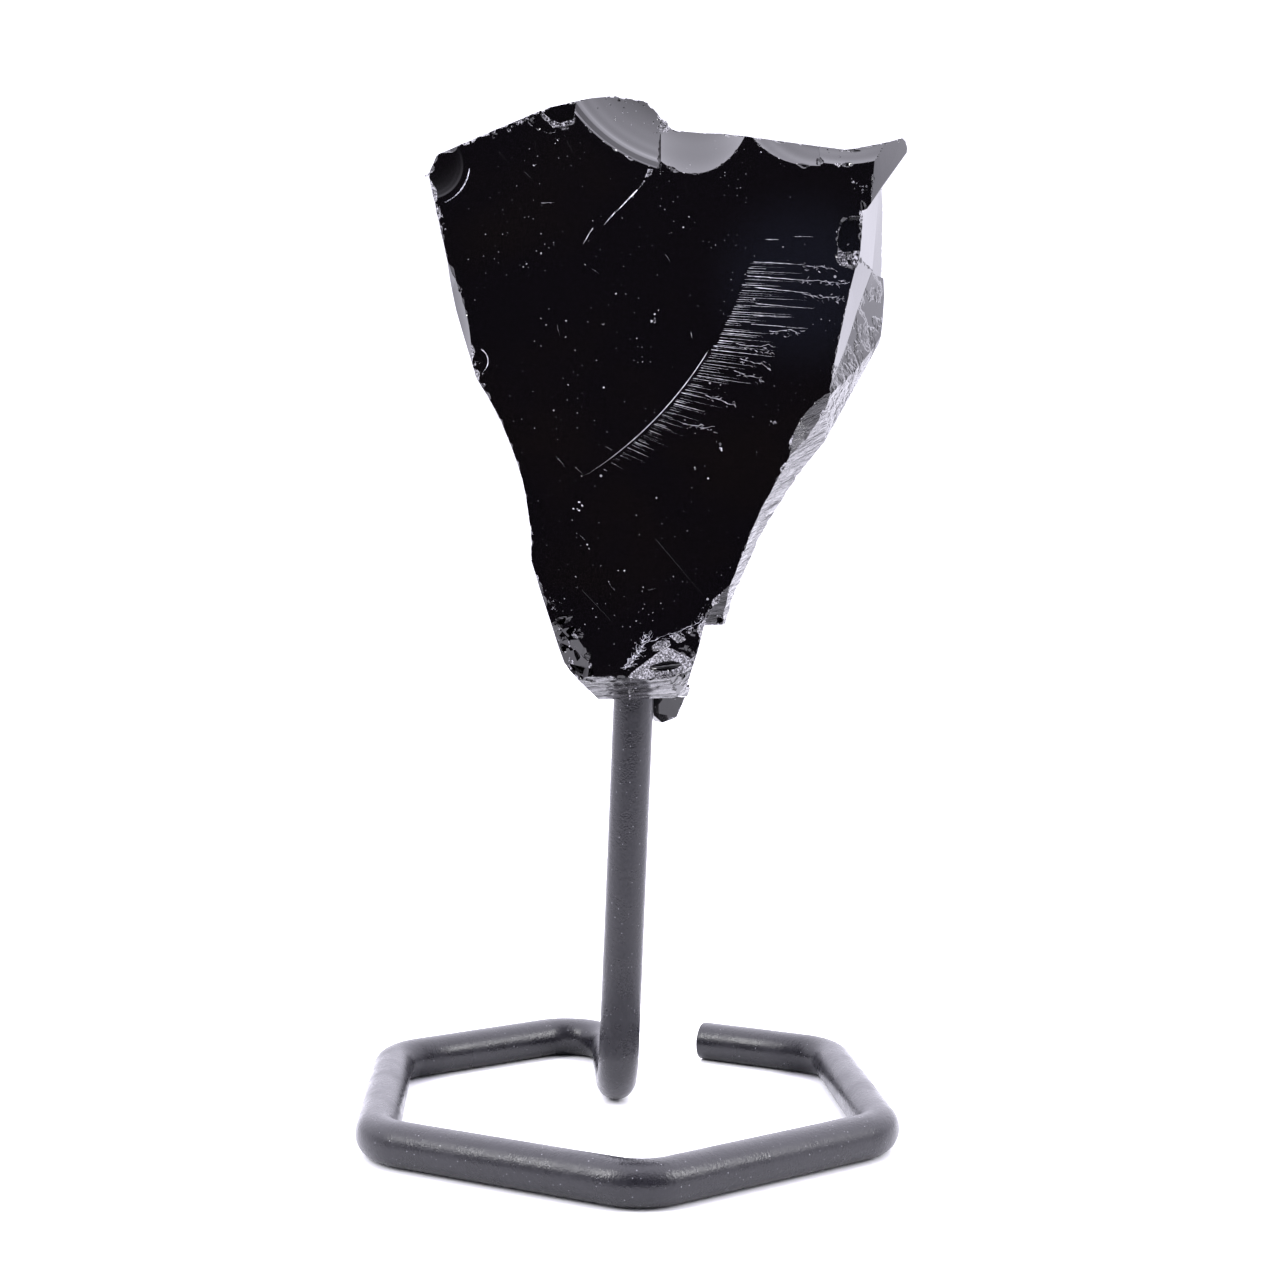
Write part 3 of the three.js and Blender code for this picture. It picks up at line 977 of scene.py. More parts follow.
    def foot_cuts(self) -> list[Shape]:
        """Return the flat-sided breaks of the foot: its underside, two steps and a crushed bevel.

        Returns:
            The cutters, in the order of cutting.
        """
        under_left = [(x, y, z) for x in (-14.0, 0.7) for y, z in
                      ((-12.5, 55.7), (-1.0, 50.0), (-12.5, 44.0), (-1.0, 44.0))]
        under_right = [(x, y, z + 0.012 * (x - 0.6)) for x in (0.6, 15.0) for y, z in
                       ((-12.5, 55.55), (-1.0, 50.35), (-12.5, 44.0), (-1.0, 44.0))]
        dark_step = [(x, -13.0, z) for x, z in
                     ((3.0, 58.8), (6.0, 59.7), (7.3, 61.0), (9.1, 61.6), (12.0, 61.0),
                      (12.0, 53.0), (3.0, 53.0))]
        dark_step += [(3.2, -10.5, 58.6), (6.2, -10.4, 59.5), (9.2, -10.4, 61.2),
                      (4.2, -10.3, 56.8), (8.0, -9.7, 56.6), (12.0, -9.6, 60.0), (6.0, -9.9, 53.0)]
        corner_step = [(x, -13.0, z) for x, z in
                       ((8.9, 61.4), (10.0, 63.6), (11.4, 65.8), (12.6, 68.4), (15.0, 71.0), (15.0, 54.0),
                        (8.9, 54.0))]
        corner_step += [(9.2, -10.4, 61.3), (10.2, -10.3, 63.4), (11.6, -10.2, 65.6), (12.8, -10.1, 68.2),
                        (15.0, -9.9, 70.8), (9.0, -9.0, 60.2), (12.0, -8.2, 60.4), (10.0, -8.0, 54.0),
                        (15.0, -7.4, 60.0)]
        bevel = [(-0.2, -10.95, 54.9), (1.2, -10.8, 57.0), (2.8, -10.45, 59.1), (4.6, -10.05, 58.2),
                 (7.6, -9.0, 56.7), (8.4, -8.0, 55.4), (0.0, -9.6, 53.6), (4.0, -13.0, 53.0),
                 (9.0, -13.0, 54.6), (-0.2, -13.0, 54.9), (2.8, -13.0, 59.1), (7.6, -13.0, 56.7)]
        notch = [(x, y, z) for y in (-15.0, 16.0) for x, z in
                 ((9.2, 60.5), (18.0, 61.0), (8.8, 57.7), (8.3, 55.1), (7.3, 52.9), (18.0, 52.9))]
        return [hull(under_left, Surface.COMBED), hull(under_right, Surface.COMBED),
                hull(dark_step), hull(corner_step, Surface.COMBED), hull(bevel, Surface.CRUSHED),
                hull(notch, Surface.STREAKED)]

    def foot_facets(self) -> list[Shape]:
        """Return the small facets that break up the foot's scars.

        Returns:
            The cutters.
        """
        draws = random.Random(self.seed + 6)
        spots = (
            (-5.0, -10.4, 57.4, 1.5), (-6.6, -9.4, 59.4, 1.3), (-5.8, -8.6, 55.0, 1.7),
            (-4.2, -9.2, 53.2, 1.4), (-7.2, -8.2, 57.4, 1.4), (-6.8, -7.0, 56.0, 1.1),
            (-4.2, -10.4, 55.4, 1.2), (-5.6, -6.8, 53.4, 1.3), (-3.0, -9.8, 52.6, 1.1),
            (-7.6, -9.4, 60.9, 0.9), (-5.4, -10.0, 59.2, 1.0), (4.4, -10.3, 58.2, 0.9),
            (6.6, -10.2, 59.0, 1.1), (8.0, -10.0, 59.8, 0.9), (6.9, -9.8, 57.8, 0.8),
            (10.6, -9.9, 62.0, 0.9), (11.0, -8.4, 61.2, 0.8), (9.8, -10.2, 61.3, 0.6),
            (7.6, -7.8, 56.4, 0.9), (6.8, -7.6, 54.4, 0.9), (8.2, -5.4, 54.6, 0.8),
        )
        made = [shard(Vector((x, y, z)), radius, draws, Surface.GLASSY) for x, y, z, radius in spots]
        for _ in range(self.foot_crumbs):
            x = draws.uniform(-9.0, -3.4)
            z = draws.uniform(52.0, 61.5)
            inside = 7.5 ** 2 - (x + 9.1) ** 2 - (z - 55.5) ** 2
            if inside > 0.0:
                made.append(shard(Vector((x, -15.7 + math.sqrt(inside), z)), draws.uniform(0.4, 1.0), draws,
                                  Surface.GLASSY))
        lens = Scar((5.4, -9.9, 55.7), 1.0, (1.0, 0.0, 0.0), (2.7, 1.5, 0.72), (0.0, -6.0, 0.0),
                    ripple=0.02, spacing=0.4, facet=0.08, seed=41)
        made.append(lens.shape())
        return made

    def ripple_cut(self) -> Shape:
        """Return the cutter that drops the front behind the ripple, in one tiny step.

        Returns:
            The cutter.
        """
        face = self.face
        steps = 420
        profile = ((0.0, 6.0), (0.0, 0.0), (39.0, 0.0), (39.0, 6.0))
        points = []
        for step in range(steps):
            angle = math.tau * step / steps
            for past, height in profile:
                radius = face.ripple_radius + past
                depth = -height or face.step + past * math.tan(face.fall)
                foot = Vector(face.plane(face.ripple_x, face.ripple_z))
                across = Vector((1.0, 0.0, 0.0)) * (radius * math.cos(angle))
                points.append(foot + across + face.upward() * (radius * math.sin(angle))
                              - face.outward() * depth)
        count = len(profile)
        faces = []
        for step in range(steps):
            here = step * count
            after = (step + 1) % steps * count
            for i in range(count):
                j = (i + 1) % count
                faces.append((here + i, after + i, after + j, here + j))
        return Shape(np.array([tuple(point) for point in points]), faces)

    def crush_zones(self) -> list[CrushZone]:
        """Return where the stone is crushed.

        Returns:
            The zones.
        """
        on_front = (
            (-12.6, 120.2, 0.7, 18, 0.25, 0.60), (-14.4, 119.4, 0.8, 22, 0.25, 0.65),
            (-16.4, 118.6, 0.8, 22, 0.25, 0.60), (-18.4, 117.7, 0.6, 16, 0.20, 0.50),
            (-8.2, 119.3, 0.7, 26, 0.15, 0.40), (-22.6, 108.6, 0.8, 16, 0.20, 0.45),
            (-22.4, 106.8, 0.8, 16, 0.20, 0.45), (25.7, 104.3, 0.8, 44, 0.18, 0.50),
            (27.2, 112.2, 0.5, 12, 0.18, 0.35), (1.4, 57.2, 0.7, 16, 0.08, 0.24),
            (0.6, 55.8, 0.5, 10, 0.08, 0.22), (6.6, 59.8, 0.5, 10, 0.08, 0.20),
            (8.7, 61.4, 0.5, 16, 0.08, 0.26), (9.8, 62.6, 0.5, 14, 0.08, 0.26),
            (-18.0, 90.4, 1.0, 20, 0.20, 0.55), (-17.4, 88.2, 0.9, 18, 0.20, 0.50),
            (-11.7, 71.6, 0.8, 12, 0.20, 0.50), (-8.4, 62.6, 0.8, 16, 0.20, 0.50),
        )
        on_edges = (
            ((4.0, -3.0, 120.9), 1.4, 30, 0.20, 0.55),
            ((-1.0, -3.0, 123.9), 2.4, 30, 0.20, 0.45),
            ((24.4, -5.0, 117.0), 1.2, 24, 0.18, 0.40),
            ((15.0, -5.6, 118.4), 1.0, 16, 0.15, 0.35),
            ((-24.0, -5.0, 114.8), 1.2, 20, 0.20, 0.50),
        )
        zones = [CrushZone(tuple(self.face.surface(x, z)), *rest) for x, z, *rest in on_front]
        zones.extend(CrushZone(middle, *rest) for middle, *rest in on_edges)
        return zones

    def crumbs(self, tree: BVHTree) -> list[Shape]:
        """Return the crumbs of all crush zones.

        Args:
            tree: Search tree of the stone's surface.

        Returns:
            The cutters.
        """
        draws = random.Random(self.seed + 1)
        made = []
        for zone in self.crush_zones():
            for _ in range(zone.crumbs):
                offset = Vector([draws.gauss(0.0, zone.reach / 1.6) for _ in range(3)])
                spot, normal, _, _ = tree.find_nearest(Vector(zone.centre) + offset)
                radius = zone.least + (zone.most - zone.least) * draws.random() ** 2
                surface = Surface.CRUSHED if draws.random() < 0.6 else Surface.GLASSY
                centre = spot + normal * radius * draws.uniform(0.25, 0.6)
                made.append(shard(centre, radius, draws, surface))
        return made

    def edge_chips(self, workpiece: Workpiece) -> list[Shape]:
        """Return small chips scattered along the sharp edges.

        Args:
            workpiece: The stone.

        Returns:
            The cutters.
        """
        draws = random.Random(self.seed)
        made = []
        gap = 0.0
        for start, end, normal in workpiece.sharp_edges(self.chipped_angle):
            length = (end - start).length
            if length < self.shortest_edge:
                continue
            if self.on_ripple(start) or self.on_ripple(end) or self.is_clean(start):
                continue
            along = (end - start) / length
            front = normal.y < -0.15
            travel = gap
            while travel < length:
                spot = start + along * travel
                least, more = self.chip_radius
                radius = least + more * draws.random() ** 4.0
                share = self.chip_crushed
                if not front:
                    radius *= 1.3
                if self.is_bruised(spot):
                    least, more = self.bruise_radius
                    radius = least + more * draws.random() ** 2
                    share = self.bruise_crushed
                surface = Surface.CRUSHED if draws.random() < share else Surface.GLASSY
                centre = spot + normal * radius * draws.uniform(0.35, 0.75)
                made.append(chip(centre, radius, along, draws.uniform(1.0, 2.0), draws, surface,
                                 rings=6 if radius < 0.3 else 9))
                travel += radius * draws.uniform(1.2, 4.0) * (1.0 if front else 2.0)
            gap = travel - length
        return made

    def is_clean(self, spot: Vector) -> bool:
        """Tell whether a point is in the wall between the top's scars or down the right side.

        Args:
            spot: The point, in millimetres.

        Returns:
            Whether it is.
        """
        if spot.x > 24.0 and spot.y > -6.5 and spot.z < 105.0:
            return True
        return abs(spot.x - 3.35) < 0.5 and 114.6 < spot.z < 119.4

    def is_mottled(self, middle: Vector, normal: Vector) -> bool:
        """Tell whether a face belongs to the mottled break low on the right side."""
        low = middle.z < 90.0 or (middle.x > 27.6 and middle.z < 104.5)
        return normal.x > 0.5 and low

    def is_bruised(self, spot: Vector) -> bool:
        """Tell whether a point is on a stretch of edge that was knocked about."""
        return any((spot - Vector(middle)).length < reach for middle, reach in self.bruised_edges)

    def on_ripple(self, spot: Vector) -> bool:
        """Tell whether a point is on the ripple of the front.

        Args:
            spot: The point, in millimetres.

        Returns:
            Whether it is.
        """
        face = self.face
        past = math.hypot(spot.x - face.ripple_x, spot.z - face.ripple_z) - face.ripple_radius
        return abs(past) < 0.4 and abs(spot.y - face.plane(spot.x, spot.z)[1]) < 0.3

    def flecks(self) -> list[Shape]:
        """Return the few larger pits on the front.

        Returns:
            The cutters.
        """
        draws = random.Random(self.seed + 2)
        made = []
        spots = (
            (2.9, 96.5, 0.34), (-3.0, 95.7, 0.22), (-11.3, 87.6, 0.20), (16.9, 84.2, 0.34),
            (10.8, 81.5, 0.32), (15.0, 80.9, 0.18), (-5.6, 74.3, 0.30), (2.0, 64.5, 0.24),
            (-1.5, 71.0, 0.16), (3.4, 75.6, 0.16), (-14.6, 106.2, 0.24), (-12.0, 102.9, 0.15),
            (-16.8, 103.6, 0.14), (-5.0, 105.6, 0.18), (-18.0, 98.6, 0.14), (6.9, 108.6, 0.14),
            (-8.6, 117.0, 0.20), (-7.6, 117.6, 0.16), (1.2, 61.0, 0.2), (4.2, 63.2, 0.16),
        )
        for x, z, radius in spots:
            for _ in range(5 if radius > 0.28 else 2):
                stray = Vector((draws.gauss(0.0, radius), 0.0, draws.gauss(0.0, radius)))
                centre = self.face.surface(x + stray.x, z + stray.z) + self.face.outward() * radius * 0.25
                made.append(shard(centre, radius * draws.uniform(0.3, 0.8), draws, Surface.BRUISED))
        low, high = 60.0, 117.0
        for _ in range(self.front_flecks):
            z = draws.uniform(low, high)
            half = float(np.interp(z, (low, high), (5.0, 19.0)))
            x = draws.uniform(-1.0, 1.0) * half + 0.05 * (z - low)
            radius = 0.045 + 0.11 * draws.random() ** 3
            centre = self.face.surface(x, z) + self.face.outward() * radius * 0.3
            made.append(shard(centre, radius, draws, Surface.BRUISED))
        return made

    def on_arc(self, angle: float, past: float) -> tuple[float, float]:
        """Return the place past the ripple, at an angle in degrees below the horizontal.

        Args:
            angle: Degrees below the horizontal.
            past: Distance beyond the ripple.

        Returns:
            The place, across and up.
        """
        radius = self.face.ripple_radius + past
        turn = math.radians(angle)
        return (self.face.ripple_x + radius * math.cos(turn), self.face.ripple_z - radius * math.sin(turn))

    def fringe(self) -> list[Lance]:
        """Return the fine hackle lines that all start at the ripple, from the top down.

        Returns:
            The lines.
        """
        draws = random.Random(self.seed + 3)
        made = []
        count = self.fringe_lines
        marks = (13.0, 20.0, 28.0, 38.0, 48.0, 56.0, 60.0)
        for i in range(count):
            angle = 16.0 + 37.0 * (i + draws.uniform(0.2, 0.8)) / count
            reach = float(np.interp(angle, marks, (6.0, 9.0, 8.0, 6.0, 4.6, 3.0, 1.0)))
            weight = float(np.interp(angle, marks, (0.5, 0.8, 1.0, 1.0, 0.5, 0.25, 0.2)))
            x, z = self.on_arc(angle, 0.20 + draws.uniform(0.0, 0.3))
            heading = float(np.interp(angle, (13.0, 24.0, 35.0, 45.0, 55.0),
                                      (-1.0, -2.0, -8.0, -19.0, -29.0)))
            length = reach * (0.22 + 0.78 * draws.random() ** 1.8)
            width = (0.007 + 0.030 * draws.random() ** 1.7) * weight
            made.append(Lance(x, z, length, heading, width, depth=0.9 * width, jag=0.008,
                              surface=Surface.BRUISED, blunt=0.7, pitch=0.30))
        return made

    def lances(self) -> list[Lance]:
        """Return the long hackle lines, the crack at the top and a few scratches.

        Returns:
            The lines.
        """
        long_ones = (
            (14.6, 103.2, 6.0, -2.0, 0.026), (14.7, 101.5, 6.2, -3.0, 0.032),
            (14.8, 100.2, 6.4, -5.0, 0.032), (14.9, 98.3, 7.0, -3.5, 0.022),
            (14.6, 96.9, 4.6, -2.0, 0.022), (14.4, 95.9, 6.8, -3.0, 0.022),
            (16.0, 105.9, 1.6, 1.0, 0.020), (19.4, 106.3, 2.2, 1.0, 0.014),
        )
        crack = ((0.9, 111.6, 3.6, 226.0, 0.075), (-1.7, 108.9, 2.0, 230.0, 0.045),
                 (-4.3, 107.0, 2.2, 240.0, 0.030))
        made = [Lance(x, z, length, heading, width, depth=0.9 * width, jag=0.03,
                      surface=Surface.BRUISED)
                for x, z, length, heading, width in (*long_ones, *crack)]
        scratches = (
            (-5.2, 64.6, 6.0, -46.0, 0.035), (3.4, 70.6, 9.4, -49.0, 0.030),
            (-15.4, 115.9, 2.0, -48.0, 0.035), (-12.4, 113.6, 1.2, -44.0, 0.035),
            (15.2, 88.6, 1.5, -72.0, 0.035), (-11.2, 117.3, 2.4, -82.0, 0.025),
            (6.4, 112.6, 2.0, -74.0, 0.020), (-7.4, 117.2, 1.6, -60.0, 0.030),
        )
        made += [Lance(x, z, length, heading, width, depth=0.3 * width, jag=0.01,
                       surface=Surface.GLASSY)
                 for x, z, length, heading, width in scratches]
        draws = random.Random(self.seed + 9)
        low, high = 64.0, 112.0
        for _ in range(self.stray_scratches):
            z = draws.uniform(low, high)
            reach = float(np.interp(z, (low, high), (7.0, 18.0)))
            made.append(Lance(draws.uniform(-reach, 0.6 * reach), z, length=draws.uniform(0.4, 1.8),
                              heading=draws.uniform(-80.0, 20.0), width=draws.uniform(0.006, 0.012),
                              depth=0.012, jag=0.05, surface=Surface.BRUISED))
        return made

    def tangles(self) -> list[Lance]:
        """Return the jagged crumbly ends of the longest hackle lines.

        Returns:
            The lines.
        """
        draws = random.Random(self.seed + 8)
        runs = (
            ((20.3, 102.8), (24.2, 102.5)), ((20.4, 101.1), (26.0, 101.0)),
            ((20.4, 99.6), (25.4, 99.1)), ((16.5, 95.1), (20.2, 94.9)),
            ((12.6, 93.6), (17.3, 92.6)), ((13.1, 91.9), (16.8, 91.1)),
            ((12.4, 90.4), (15.8, 89.4)), ((9.0, 87.5), (12.8, 86.5)),
            ((6.4, 84.2), (10.2, 83.5)), ((2.7, 58.7), (6.1, 59.7)), ((6.1, 59.7), (9.3, 61.7)),
        )
        made = []
        for (x, z), (far_x, far_z) in runs:
            length = math.hypot(far_x - x, far_z - z)
            heading = math.degrees(math.atan2(far_z - z, far_x - x))
            made.append(Lance(x, z, length, heading, width=0.022, depth=0.04, jag=0.12,
                              surface=Surface.BRUISED, blunt=0.2, pitch=0.20))
            for _ in range(round(self.strokes_per_mm * length)):
                share = draws.random()
                spot_x = x + share * (far_x - x) + draws.gauss(0.0, 0.12)
                spot_z = z + share * (far_z - z) + draws.gauss(-0.15, 0.22)
                made.append(Lance(spot_x, spot_z, length=draws.uniform(0.15, 0.6),
                                  heading=draws.gauss(heading, 34.0),
                                  width=draws.uniform(0.010, 0.028), depth=0.05, jag=0.08,
                                  surface=Surface.BRUISED, blunt=0.3, pitch=0.15))
        return made

    def crinkles(self) -> list[Lance]:
        """Return the short bright strokes that fan out over the crushed corner of the foot.

        Returns:
            The strokes.
        """
        draws = random.Random(self.seed + 11)
        made = []
        for _ in range(self.foot_strokes):
            share = draws.random()
            past = draws.random() ** 1.6
            x = 2.9 * share - 0.6 * past
            z = 55.1 + 3.9 * share + 0.4 * past
            made.append(Lance(x, z, length=draws.uniform(0.25, 1.1), heading=draws.gauss(46.0, 34.0),
                              width=draws.uniform(0.010, 0.040), depth=0.05, jag=0.12,
                              surface=Surface.BRUISED, blunt=0.3, pitch=0.15))
        return made

    def painted_glint_arc(self, x: float, z: float, radius: float, first: float, last: float, width: float,
               inset: float = 0.0) -> Shape:
        """Return the cutter of a thin arc on the front, painted white as a stand-in highlight.

        Args:
            x: Place of the arc's middle, across.
            z: Place of the arc's middle, up.
            radius: Radius of the arc.
            first: Where it starts, in degrees below the horizontal.
            last: Where it ends.
            width: Its greatest width.
            inset: How far behind the leaning plane it lies.

        Returns:
            The cutter.
        """
        steps = max(12, round(radius * math.radians(last - first) / 0.16))
        points = []
        for step in range(steps + 1):
            share = step / steps
            turn = math.radians(first + (last - first) * share)
            half = 0.5 * width * (0.12 + 0.88 * min(1.0, share / 0.06) * min(1.0, (1.0 - share) / 0.5))
            for past, depth in ((-half, 0.0), (-0.7 * half, 1.7 * half), (half, 0.0), (half, -0.4),
                                (-half, -0.4)):
                away = radius + past
                spot = self.face.plane(x + away * math.cos(turn), z - away * math.sin(turn))
                points.append(Vector(spot) - self.face.outward() * (depth + inset))
        return chain(points, 5, Surface.BRUISED)

    def painted_glint_arcs(self) -> list[Shape]:
        """Return the arcs painted white as stand-in highlights: along the ripple, in the corner and at the
        edges.

        Returns:
            The cutters.
        """
        face = self.face
        return [
            self.painted_glint_arc(face.ripple_x, face.ripple_z, face.ripple_radius + 0.02, 29.4, 68.0, 0.12),
            self.painted_glint_arc(-23.7, 114.3, 4.85, 4.0, 66.0, 0.11, 0.02),
            self.painted_glint_arc(-10.6, 72.2, 1.7, 80.0, 170.0, 0.10),
            self.painted_glint_arc(-18.0, 91.2, 1.6, -60.0, 50.0, 0.10),
        ]

    def pocket(self, outline: Sequence[tuple[float, float]], depth: float, surface: Surface) -> Shape:
        """Return the cutter of a flat-floored pocket, from its outline on the front.

        Args:
            outline: Its corners on the front, across and up.
            depth: How far its floor lies behind the surface.
            surface: What it looks like.

        Returns:
            The cutter.
        """
        face = self.face
        corners = [face.surface(x, z) + face.outward() * above for x, z in outline
                   for above in (1.0, -depth)]
        return hull(corners, surface)

    def edge_pockets(self) -> list[Shape]:
        """Return the cutters of the dark pocket left of the peak and of the notch on the right.

        Returns:
            The cutters, in the order of cutting.
        """
        return [
            self.pocket(((-12.0, 119.6), (-11.4, 118.9), (-9.6, 118.2), (-8.2, 118.5), (-6.9, 119.4),
                         (-6.9, 121.0), (-10.5, 121.0)), 0.16, Surface.GLASSY),
            self.pocket(((-10.4, 120.3), (-9.1, 119.0), (-8.1, 118.9), (-6.6, 119.6), (-6.3, 124.0),
                         (-10.8, 124.0)), 0.55, Surface.CRUSHED),
            self.pocket(((-10.2, 120.7), (-9.2, 119.9), (-8.3, 119.6), (-6.7, 120.1), (-6.2, 124.0),
                         (-10.9, 124.0)), 1.10, Surface.GLASSY),
            self.pocket(((24.6, 105.2), (24.5, 103.8), (25.2, 103.0), (26.4, 103.2), (29.0, 103.4),
                         (29.0, 105.6)), 0.50, Surface.CRUSHED),
            self.pocket(((24.5, 105.4), (24.6, 107.0), (25.1, 108.2), (26.0, 108.8), (29.0, 108.9),
                         (29.0, 105.2), (25.2, 104.7)), 0.85, Surface.GLASSY),
        ]

    def sliver(self, outline: Sequence[tuple[float, float]], depth: float,
               surface: Surface = Surface.CRUSHED) -> Shape:
        """Return the cutter of a flat sliver, from its outline on the front.

        Args:
            outline: Its corners on the front, across and up.
            depth: Its greatest depth.
            surface: What it looks like.

        Returns:
            The cutter.
        """
        face = self.face
        middle = Vector((sum(x for x, _ in outline), sum(z for _, z in outline))) / len(outline)
        corners = [face.surface(x, z) + face.outward() * 0.3 for x, z in outline]
        corners.append(face.surface(*middle) - face.outward() * depth)
        return hull(corners, surface)

    def slivers(self) -> list[Shape]:
        """Return the larger bright slivers of the front.

        Returns:
            The cutters.
        """
        return [
            self.sliver(((2.0, 114.4), (3.1, 114.4), (2.7, 113.1), (1.3, 112.5)), 0.35),
            self.sliver(((1.9, 113.4), (2.3, 113.1), (1.4, 111.9), (0.2, 110.6)), 0.20),
            self.sliver(((16.4, 84.5), (17.4, 84.9), (17.9, 84.2), (17.2, 84.0)), 0.22),
            self.sliver(((10.5, 82.0), (11.0, 82.3), (11.2, 81.6), (10.8, 81.2)), 0.20),
            self.sliver(((2.6, 96.4), (3.3, 97.0), (3.4, 95.8), (2.9, 95.4)), 0.22),
            self.sliver(((-3.4, 95.6), (-2.4, 96.2), (-2.9, 95.3)), 0.15),
            self.sliver(((-6.4, 64.9), (-5.4, 65.2), (-5.4, 64.5)), 0.15),
        ]

    def groove(self, lance: Lance, draws: random.Random) -> Shape:
        """Return the slender wedge that cuts one hackle line.

        Args:
            lance: The line.
            draws: Source of random numbers.

        Returns:
            The wedge.
        """
        face = self.face
        above = 0.4
        pieces = max(3, round(lance.length / lance.pitch))
        heading = Vector((math.cos(math.radians(lance.heading)), math.sin(math.radians(lance.heading))))
        side = Vector((-heading.y, heading.x))
        points = []
        drift = 0.0
        for piece in range(pieces + 1):
            share = piece / pieces
            taper = max(0.08, min(1.0, (share + 0.06) / 0.1) * (1.0 - share) ** lance.blunt)
            drift += draws.uniform(-lance.jag, lance.jag) * (0.4 + share)
            middle = Vector((lance.x, lance.z)) + heading * (lance.length * share) + side * drift
            half = lance.width * taper * draws.uniform(0.45, 1.25)
            for across, depth in ((half, 0.0), (0.0, lance.depth * taper), (-half, 0.0)):
                spot = middle + side * across
                points.append(face.surface(*spot) - face.outward() * depth)
            for across in (-half, half):
                spot = middle + side * across
                points.append(face.surface(*spot) + face.outward() * above)
        return chain(points, 5, lance.surface)

    def socket(self) -> Shape:
        """Return the drill that makes the blind hole for the post.

        Returns:
            The drill.
        """
        heading = Vector((POST_LEAN, 0.0, 1.0)).normalized()
        return rod_shape([Vector(self.socket_foot), Vector(self.socket_top)], [heading] * 2,
                         self.socket_radius, self.socket_sides)

    def build(self) -> Workpiece:
        """Break the stone out of its block.

        Returns:
            The stone, still in millimetres.
        """
        finishes = [ObsidianFinish(surface).make() for surface in Surface]
        stone = Workpiece(self.node, finishes, self.rough_block())
        for wedge in self.side_wedges():
            stone.cut([wedge])
        for face in stone.item.data.polygons:
            if self.is_mottled(face.center, face.normal):
                face.material_index = int(Surface.MOTTLED)
        for scar in self.side_scars():
            stone.cut([scar.shape()])
        for part in (self.top_peak(), self.side_ear(), self.foot_knob()):
            stone.apply("UNION", [part])
        stone.cut([self.ripple_cut()])
        for cut in self.top_scars():
            stone.cut([cut])
        for scar in self.later_scars():
            stone.cut([scar.shape()])
        for cut in (*self.foot_cuts(), *self.edge_pockets()):
            stone.cut([cut])
        stone.cut_apart(self.foot_facets())
        log.info("stone: %d faces after the large scars", len(stone.item.data.polygons))
        rounds = stone.cut_apart(self.edge_chips(stone))
        log.info("stone: %d faces after %d rounds of edge chips", len(stone.item.data.polygons), rounds)
        rounds = stone.cut_apart([*self.flecks(), *self.slivers(), *self.crumbs(stone.tree())])
        log.info("stone: %d faces after %d rounds of crumbs", len(stone.item.data.polygons), rounds)
        draws = random.Random(self.seed + 4)
        stone.cut_apart(self.painted_glint_arcs())
        stone.cut([self.groove(lance, draws) for lance in self.fringe()])
        lines = (*self.lances(), *self.tangles(), *self.crinkles())
        rounds = stone.cut_apart([self.groove(lance, draws) for lance in lines])
        log.info("stone: %d faces after %d rounds of hackles", len(stone.item.data.polygons), rounds)
        stone.cut([self.socket()])
        return stone


def chain(points: Sequence[Vector], count: int, surface: Surface) -> Shape:
    """Return the closed body that runs through equal sections.

    Args:
        points: The points of all sections, section by section.
        count: The number of points in a section.
        surface: What the cut looks like.

    Returns:
        The body.
    """
    last = len(points) // count - 1
    faces: list[tuple[int, ...]] = [tuple(range(count))]
    faces.append(tuple(last * count + i for i in reversed(range(count))))
    for piece in range(last):
        here = piece * count
        after = here + count
        for i in range(count):
            j = (i + 1) % count
            faces.append((here + i, after + i, after + j, here + j))
    spots = np.array([tuple(point) for point in points])
    around = sum(np.cross(spots[i], spots[(i + 1) % count]) for i in range(count))
    if float(np.dot(around, spots[count:2 * count].mean(axis=0) - spots[:count].mean(axis=0))) > 0.0:
        faces = [tuple(reversed(face)) for face in faces]
    return Shape(spots, faces, surface)


def walled(shape: Shape, least: float, most: float) -> Shape:
    """Return a shape squeezed between two walls across X.

    Args:
        shape: The shape.
        least: Where the lower wall stands.
        most: Where the upper wall stands.

    Returns:
        The squeezed shape.
    """
    points = shape.points.copy()
    kept = np.clip(points[:, 0], least, most)
    points[:, 0] = kept + 0.002 * (points[:, 0] - kept)
    return Shape(points, shape.faces, shape.surface)


# ------------------------------------------------------------------ the stand


